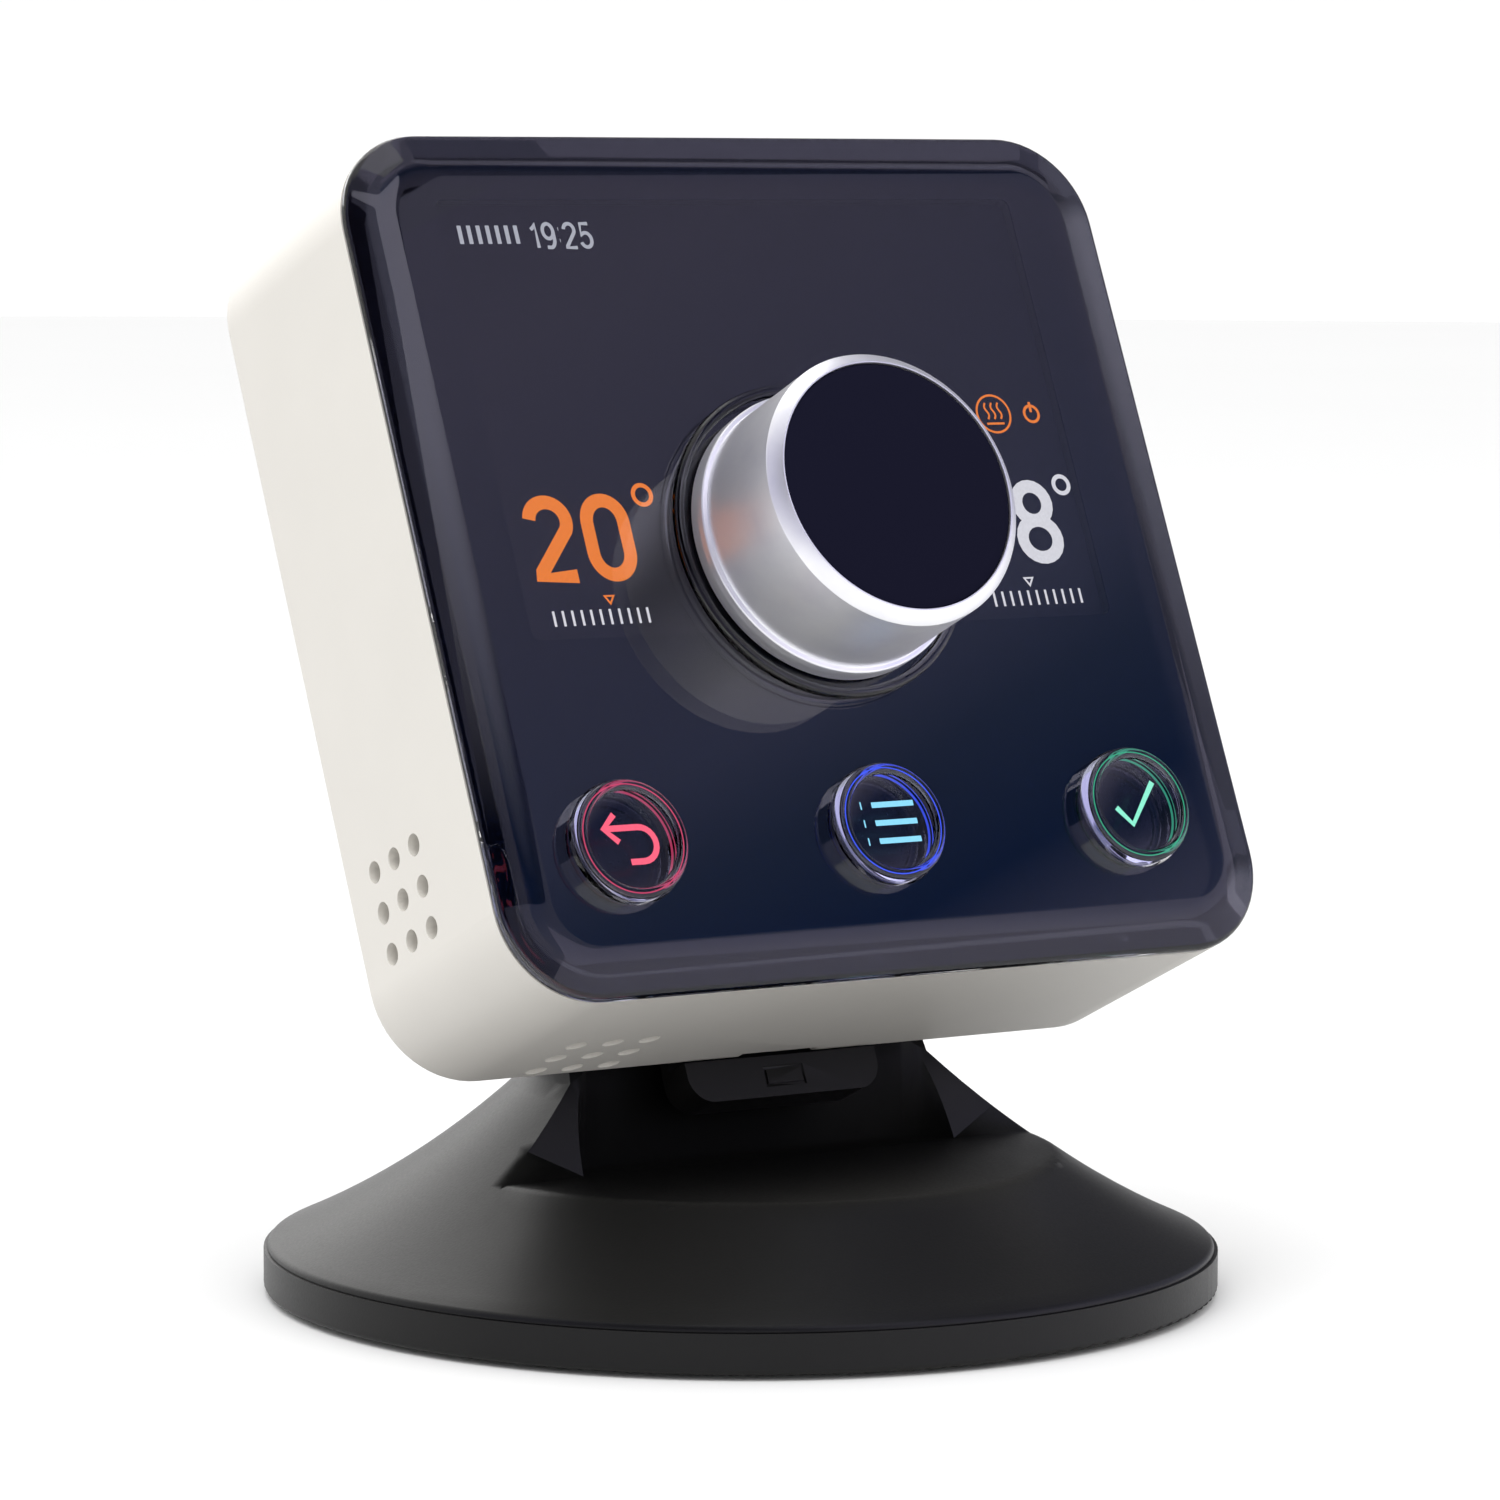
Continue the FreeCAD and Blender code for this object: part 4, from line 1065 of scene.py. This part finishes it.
@dataclass
class Housing:
    """Rear housing and the small parts on the board's back, sizes in millimetres."""

    finishes: Finishes
    rows: RowTree
    scatter: ScatterTree
    board_back: float = -10.0
    lead: Colour = (0.3, 1.0, 0.22)
    lead_round: float = 0.05
    lead_pitch: float = 0.8
    lead_rows: Sequence[Tuple[float, float, float]] = (
        (-11.5, -2.5, 32.6), (-11.5, -2.5, 43.4), (4.5, 10.5, 34.6), (4.5, 10.5, 42.4))
    block: Colour = (1.6, 0.8, 0.6)
    patches: Sequence[Patch] = (
        Patch(-24.0, -14.0, 33.5, 42.5, 3), Patch(14.0, 28.0, 33.5, 42.5, 5))

    def chip_leads(self) -> None:
        """Rows of leads along the packages on the board's back."""
        tin = self.finishes["tinned_can"]
        rows = []
        for x0, x1, y in self.lead_rows:
            build = bmesh.new()
            bmesh.ops.create_cube(build, size=1.0)
            build.transform(Matrix.Diagonal((*(side * MM for side in self.lead), 1.0)))
            bmesh.ops.bevel(build, geom=build.edges[:], offset=self.lead_round * MM,
                            segments=1, affect="EDGES")
            lead = finish_mesh(build, "chip_lead", Matrix.Identity(4), None)
            count = int((x1 - x0) / self.lead_pitch) + 1
            row = self.rows.repeat(lead, count, (self.lead_pitch, 0.0, 0.0), tin)
            row.data.transform(Matrix.Translation((x0 * MM, y * MM, (self.board_back - 0.13) * MM)))
            rows.append(row)
        settle(sealed(joined("chip_leads", rows), HEAD), [tin], Body.HEAD, "shield_can")

    def small_parts(self) -> None:
        """Resistors and capacitors strewn over the clear ends of the board."""
        size = tuple(side * MM for side in self.block)
        coat = self.finishes["chip_epoxy"]
        parts = [self.scatter.strew("small_parts", patch, size, coat) for patch in self.patches]
        piece = sealed(joined("small_board_parts", parts), in_head(0.0, 0.0, self.board_back - 0.31))
        settle(piece, [coat], Body.HEAD, "chip_black")

    def build(self) -> None:
        """Makes the housing and the board's small parts."""
        shell = smooth_copy("rear_housing")
        settle(shell, [self.finishes["warm_white"]], Body.HEAD, "warm_white", ["rear_housing"])
        self.chip_leads()
        self.small_parts()


@dataclass
class Dial:
    """Aluminium dial with a polished bevel and a dark cap."""

    finishes: Finishes
    radius: float = 15.3
    foot_radius: float = 15.95
    foot_height: float = 2.5
    back: float = 2.95
    front: float = 19.1
    bevel: float = 1.25
    wall: float = 1.45
    cap_thick: float = 1.4

    def sleeve(self) -> None:
        """Turned sleeve with its foot ring."""
        inner = self.radius - self.wall
        step = self.back + self.foot_height
        edge = self.front - self.bevel
        points = [(inner, self.back), (self.foot_radius - 0.3, self.back)]
        points += arc((self.foot_radius - 0.3, self.back + 0.3), 0.3, -90.0, 0.0, 4)
        points += arc((self.foot_radius - 0.25, step - 0.25), 0.25, 0.0, 90.0, 4)
        points += arc((self.radius + 0.15, step + 0.15), 0.15, 270.0, 180.0, 4)
        points += [(self.radius, edge - 0.1), (self.radius - 0.04, edge)]
        lip = self.radius - self.bevel
        points += [(lip, self.front - 0.04), (lip - 0.06, self.front), (inner, self.front)]
        profile = [(r * MM, z * MM) for r, z in points]
        piece = lathe("dial_sleeve_turned", profile, 192, HEAD.copy(), 25.0)
        back = HEAD.inverted()
        for face in piece.data.polygons:
            face.material_index = int((back @ face.center).z > (edge - 0.01) * MM)
        coats = [self.finishes["satin_aluminium"], self.finishes["bright_bevel"]]
        settle(piece, coats, Body.DIAL, "dial_aluminium", ["dial_sleeve"])

    def cap(self) -> None:
        """Polished dark cap, very slightly domed."""
        edge = self.radius - self.wall - 0.04
        top = self.front - 0.15
        points = [(0.0, top - self.cap_thick), (edge, top - self.cap_thick), (edge, top - 0.3)]
        points += arc((edge - 0.3, top - 0.3), 0.3, 0.0, 80.0, 5)
        radii = (edge - 1.0, 0.7 * edge, 0.35 * edge, 0.0)
        points += [(r, top + 0.06 * (1.0 - (r / edge) ** 2)) for r in radii]
        profile = [(r * MM, z * MM) for r, z in points]
        piece = lathe("dial_cap_gloss", profile, 128, HEAD.copy(), 40.0)
        settle(piece, [self.finishes["dark_cap_painted_reflection"]], Body.DIAL, "cap_gloss", ["dial_cap"])

    def build(self) -> None:
        """Makes the dial's visible pieces."""
        self.sleeve()
        self.cap()


@dataclass
class PushButton:
    """Clear cap over a dark film with a lit sign and a glowing ring."""

    finishes: Finishes
    rows: RowTree
    sign: Sign
    body: Body
    x: float
    lit: str
    glow: str
    y: float = -32.0
    radius: float = 6.5
    flange: float = 1.0
    low: float = -0.6
    shoulder: float = -0.1
    top: float = 4.2
    rim: float = 0.9
    dish: float = 0.5
    thick: float = 0.06
    sign_deep: float = 0.4
    ring_deep: float = 0.3

    def cap(self) -> None:
        """Clear cap with a rounded rim and a dished top."""
        dish_r = self.radius - self.rim - 0.35
        low = self.low + 0.1
        points = [(0.0, low), (self.radius + self.flange, low)]
        points += [(self.radius + self.flange, self.shoulder), (self.radius, self.shoulder)]
        points += arc((self.radius - 0.45, self.top - 0.45), 0.45, 0.0, 90.0, 7)
        points += arc((self.radius - self.rim - 0.35 + 0.5, self.top - 0.5), 0.5, 90.0, 180.0, 7)
        points += [(dish_r - 0.6, self.top - self.dish - 0.06), (0.5 * dish_r, self.top - self.dish - 0.1)]
        points += [(0.0, self.top - self.dish - 0.12)]
        profile = [(r * MM, z * MM) for r, z in points]
        node = self.sign.value + "_button_cap"
        piece = lathe(node + "_clear", profile, 96, in_head(self.x, self.y), 40.0)
        settle(piece, [self.finishes["clear_cap"]], self.body, "clear_cap", [node])

    def back_arrow(self) -> Piece:
        """Arrow that turns back to the left."""
        hook = [(-2.9, 1.35), (1.1, 1.35)] + arc((1.1, -0.5), 1.85, 90.0, -90.0, 12) + [(-0.5, -2.35)]
        head = [(-1.4, 2.85), (-3.0, 1.35), (-1.4, -0.15)]
        return tube_line("back_arrow", [hook, head], 0.68, self.thick)

    def menu_bars(self) -> Piece:
        """Three bars, each with a dot at its left."""
        dash = tube_line("menu_dash", [[(-1.9, -2.0), (3.4, -2.0)]], 0.62, self.thick)
        dot = tube_line("menu_dot", [[(-3.35, -2.0), (-3.2, -2.0)]], 0.85, self.thick)
        row = joined("menu_row", [dash, dot])
        return self.rows.repeat(row, 3, (0.0, 2.0, 0.0), self.finishes[self.lit])

    def tick_mark(self) -> Piece:
        """Tick."""
        return tube_line("tick_mark", [[(-2.7, -0.1), (-1.0, -2.1), (2.8, 2.5)]], 0.66, self.thick)

    def set_light(self, piece: Piece, name: str, height: float, finish: str) -> None:
        """Sets a lit drawing into the cap, at a height over the front's seam in millimetres."""
        place = in_head(self.x, self.y, height)
        own = self.sign.value
        light_up(piece, own + name, place, self.finishes[finish], self.body, own + "_icon_film")

    def lit_sign(self) -> None:
        """The button's own sign, just under the cap's dished top."""
        makers = {Sign.BACK: self.back_arrow, Sign.MENU: self.menu_bars, Sign.TICK: self.tick_mark}
        self.set_light(makers[self.sign](), "_lit_sign", self.top - self.dish - self.sign_deep, self.lit)

    def ring(self, name: str, radius: float, width: float, height: float) -> None:
        """Thin lit ring round the cap's axis.

        Args:
            name: the piece's last name.
            radius: the ring's radius in millimetres.
            width: its width in millimetres.
            height: its height over the front's seam in millimetres.
        """
        circle = arc((0.0, 0.0), radius, 0.0, 360.0 * 63 / 64, 63)
        self.set_light(tube_line("ring", [circle], width, self.thick, True), name, height, self.glow)

    def build(self) -> None:
        """Makes the button's visible pieces."""
        self.cap()
        self.lit_sign()
        self.ring("_glow_ring", self.radius - 0.2, 0.3, self.low + 0.5 * self.thick + 0.01)
        self.ring("_rim_ring", self.radius - 0.6, 0.13, self.top - self.ring_deep)


# ------------------------------------------------------------------ carried-over nodes
FINISH_NODES: Dict[str, str] = {
    "foot_rubber": "foot_pad",
    "oiled_steel": "ballast_weight",
    "zinc_plate": "ballast_screws base_screws plate_screws latch_pin housing_screws "
                  "board_screws encoder_nut",
    "nickel_plate": "latch_spring battery_plates battery_springs",
    "navy_print": "lens_mask",
    "display_glass": "lcd_panel",
    "milky_white": "backlight status_leds back_button_plunger menu_button_plunger tick_button_plunger",
    "amber_ribbon": "display_flex",
    "board_green": "main_board",
    "chip_epoxy": "board_chips",
    "tinned_can": "radio_module rotary_encoder encoder_shaft",
    "sensor_resin": "temperature_sensor",
    "cell_forward": "battery_cell_1 battery_cell_3",
    "cell_reversed": "battery_cell_2 battery_cell_4",
    "switch_black": "back_switch menu_switch tick_switch",
    "film_black": "back_button_icon menu_button_icon tick_button_icon",
}
NODE_FINISH = {node: finish for finish, nodes in FINISH_NODES.items() for node in nodes.split()}
OTHER_FINISH = "chassis_black"


def dress_nodes(finishes: Finishes) -> None:
    """Gives every CAD node its finish, shown or not.

    Args:
        finishes: the materials.
    """
    for name, node in frame["nodes"].items():
        finish = NODE_FINISH.get(name, OTHER_FINISH)
        dress(node, [finishes[finish]])
        LOG.info("node %s has finish %s", name, finish)


# ------------------------------------------------------------------ studio
@dataclass
class Studio:
    """Plain pale floor, soft light and the camera."""

    eye: Vector = field(default_factory=lambda: Vector((-0.3535, -0.5461, 0.12366)))
    aim: Vector = field(default_factory=lambda: Vector((0.0038, 0.0044, 0.0587)))
    roll: float = 0.23
    lens: float = 143.6
    floor_radius: float = 4.0
    panel_distance: float = 1.15
    panel_power: float = 5.0
    panel_steps: int = 12

    def floor(self) -> None:
        """Pale floor disc."""
        build = bmesh.new()
        bmesh.ops.create_circle(build, cap_ends=True, radius=self.floor_radius, segments=96)
        piece = finish_mesh(build, "studio_floor", Matrix.Identity(4), None)
        shader = Shader("floor_white")
        cloud = shader.noise(shader.coordinates, 0.6)
        stops = [(0.3, (0.93, 0.93, 0.93)), (0.7, (0.94, 0.94, 0.94))]
        shader.feed("Base Color", shader.ramp(cloud, stops))
        shader.set(Roughness=0.9, Specular_IOR_Level=0.1)
        dress(piece, [shader.material])
        piece.visible_diffuse = False

    def panel(self, name: str, azimuth: Point, elevation: Point, stops: Sequence[Tuple[float, Colour]],
              upright: bool = True, distance: Optional[float] = None) -> None:
        """Curved panel round the head that only reflections see.

        Args:
            name: its name.
            azimuth: its two sides, degrees from the front towards the right.
            elevation: its lower and upper edge in degrees.
            stops: angle and brightness, along the elevation if upright, else along the azimuth.
            upright: whether the brightness changes with elevation.
            distance: how far from the head, or None for the usual distance.
        """
        build = bmesh.new()
        uv = build.loops.layers.uv.new("across")
        bmesh.ops.create_grid(build, x_segments=self.panel_steps, y_segments=self.panel_steps, size=0.5)
        for face in build.faces:
            for corner in face.loops:
                corner[uv].uv = (corner.vert.co.x + 0.5, corner.vert.co.y + 0.5)
        for vert in build.verts:
            across = math.radians(azimuth[0] + (azimuth[1] - azimuth[0]) * (vert.co.x + 0.5))
            up = math.radians(elevation[0] + (elevation[1] - elevation[0]) * (vert.co.y + 0.5))
            way = Vector((math.sin(across) * math.cos(up), -math.cos(across) * math.cos(up), math.sin(up)))
            vert.co = HEAD.translation + way * (distance or self.panel_distance)
        piece = finish_mesh(build, name, Matrix.Identity(4), None)
        shader = Shader(name + "_light")
        place = shader.nodes.new("ShaderNodeUVMap")
        place.uv_map = "across"
        low, high = elevation if upright else azimuth
        factor = shader.axis(place.outputs["UV"], "Y" if upright else "X")
        marks = [((angle - low) / (high - low), scaled(rgb, 1.0 / self.panel_power))
                 for angle, rgb in stops]
        shader.colour((0.0, 0.0, 0.0))
        shader.feed("Emission Color", shader.ramp(factor, marks))
        shader.set(Roughness=1.0, Specular_IOR_Level=0.0, Emission_Strength=self.panel_power)
        dress(piece, [shader.material])
        piece.visible_camera = False
        piece.visible_diffuse = False
        piece.visible_shadow = False

    def panels(self) -> None:
        """Panels that the clear front mirrors: one over the face, one for each border."""
        black: Colour = (0.01, 0.01, 0.015)
        face = [(24.0, (0.9, 0.85, 1.2)), (30.0, (0.05, 0.10, 0.28)), (32.0, (0.12, 0.17, 0.34)),
                (33.5, (0.25, 0.28, 0.50)), (37.0, (0.33, 0.33, 0.53)), (40.5, (0.42, 0.40, 0.60))]
        self.panel("panel_face", (33.0, 53.0), (24.0, 42.5), face)
        low = [(-9.5, (1.3, 1.25, 1.6)), (22.0, (1.0, 0.95, 1.3))]
        self.panel("panel_low", (0.0, 70.0), (-9.5, 22.0), low, distance=0.45)
        grey: Colour = (0.42, 0.41, 0.58)
        self.panel("panel_surround", (-110.0, 112.0), (-1.0, 72.0), [(-1.0, grey), (72.0, grey)],
                   distance=1.5)
        dim: Colour = (0.14, 0.14, 0.15)
        self.panel("panel_far_right", (113.0, 166.0), (0.0, 38.0), [(0.0, dim), (38.0, dim)])
        pale: Colour = (2.3, 2.28, 2.25)
        self.panel("panel_behind", (150.0, 198.0), (4.0, 82.0), [(4.0, pale), (82.0, pale)])
        self.panel("panel_left", (-16.0, 32.0), (35.0, 62.0), [(36.5, black), (43.0, (2.0, 1.95, 2.4))])
        self.panel("panel_far_left", (-70.0, -17.0), (22.0, 62.0), [(22.0, black), (62.0, black)])
        right: Colour = (0.42, 0.42, 0.58)
        self.panel("panel_right", (54.0, 112.0), (2.0, 38.0), [(2.0, right), (38.0, right)])
        self.panel("panel_crown", (33.0, 58.0), (43.0, 66.0), [(43.0, black), (66.0, black)])
        bright: Colour = (0.70, 0.68, 0.90)
        soft: Colour = (0.22, 0.22, 0.36)
        bands = [(59.0, black), (61.0, bright), (72.0, bright), (74.0, black), (84.0, black), (86.0, soft),
                 (99.0, soft), (101.0, black), (112.0, black), (114.0, (0.25, 0.25, 0.35))]
        self.panel("panel_top", (58.0, 150.0), (39.0, 68.0), bands, False)

    def softbox(self, name: str, at: Vector, size: Point, power: float) -> None:
        """Area light aimed at the head, left out of reflections.

        Args:
            name: its name.
            at: its place.
            size: width and height.
            power: power in watts.
        """
        data = bpy.data.lights.new(name, "AREA")
        data.shape = "RECTANGLE"
        data.size, data.size_y = size
        data.energy = power
        lamp = bpy.data.objects.new(name, data)
        bpy.context.scene.collection.objects.link(lamp)
        turn = (at - HEAD.translation).to_track_quat("Z", "Y").to_matrix().to_4x4()
        lamp.matrix_world = Matrix.Translation(at) @ turn
        lamp.visible_glossy = False
        lamp.visible_transmission = False

    def world(self) -> None:
        """Even pale surroundings."""
        world = bpy.data.worlds.new("studio")
        world.use_nodes = True
        nodes, links = world.node_tree.nodes, world.node_tree.links
        place = nodes.new("ShaderNodeTexCoord")
        parts = nodes.new("ShaderNodeSeparateXYZ")
        ramp = nodes.new("ShaderNodeMapRange")
        for name, value in (("From Min", -0.5), ("From Max", -0.06), ("To Min", 0.60), ("To Max", 1.02)):
            ramp.inputs[name].default_value = value
        links.new(place.outputs["Generated"], parts.inputs[0])
        links.new(parts.outputs["Z"], ramp.inputs["Value"])
        links.new(ramp.outputs["Result"], nodes["Background"].inputs["Strength"])
        nodes["Background"].inputs["Color"].default_value = (1.0, 1.0, 1.0, 1.0)
        bpy.context.scene.world = world

    def camera(self) -> None:
        """Camera at the front left, a little above the stand."""
        data = bpy.data.cameras.new("camera")
        data.lens = self.lens
        data.sensor_width = 36.0
        data.clip_start = 0.01
        data.clip_end = 50.0
        camera = bpy.data.objects.new("camera", data)
        bpy.context.scene.collection.objects.link(camera)
        turn = (self.aim - self.eye).to_track_quat("-Z", "Y").to_matrix().to_4x4()
        tilt = Matrix.Rotation(math.radians(self.roll), 4, "Z")
        camera.matrix_world = Matrix.Translation(self.eye) @ turn @ tilt
        bpy.context.scene.camera = camera

    def build(self) -> None:
        """Sets the scene."""
        self.floor()
        self.world()
        self.panels()
        self.softbox("key_top", Vector((-0.5, -0.2, 1.6)), (1.2, 1.2), 9.0)
        self.camera()
        bpy.context.scene.view_settings.view_transform = "Standard"


def main() -> None:
    """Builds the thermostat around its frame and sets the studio."""
    logging.basicConfig(level=logging.INFO, format="%(name)s: %(message)s", stream=sys.stdout)
    finishes = Finishes()
    rows = RowTree()
    scatter = ScatterTree()
    Studio().build()
    dress_nodes(finishes)
    Stand(finishes).build()
    ClearFront(finishes).build()
    Display(finishes, rows).build()
    Housing(finishes, rows, scatter).build()
    Dial(finishes).build()
    pitch = 32.2
    PushButton(finishes, rows, Sign.BACK, Body.BACK, -pitch, "lit_red", "dim_red").build()
    PushButton(finishes, rows, Sign.MENU, Body.MENU, 0.0, "lit_cyan", "dim_blue").build()
    PushButton(finishes, rows, Sign.TICK, Body.TICK, pitch, "lit_green", "dim_green").build()


if __name__ == "__main__":
    main()
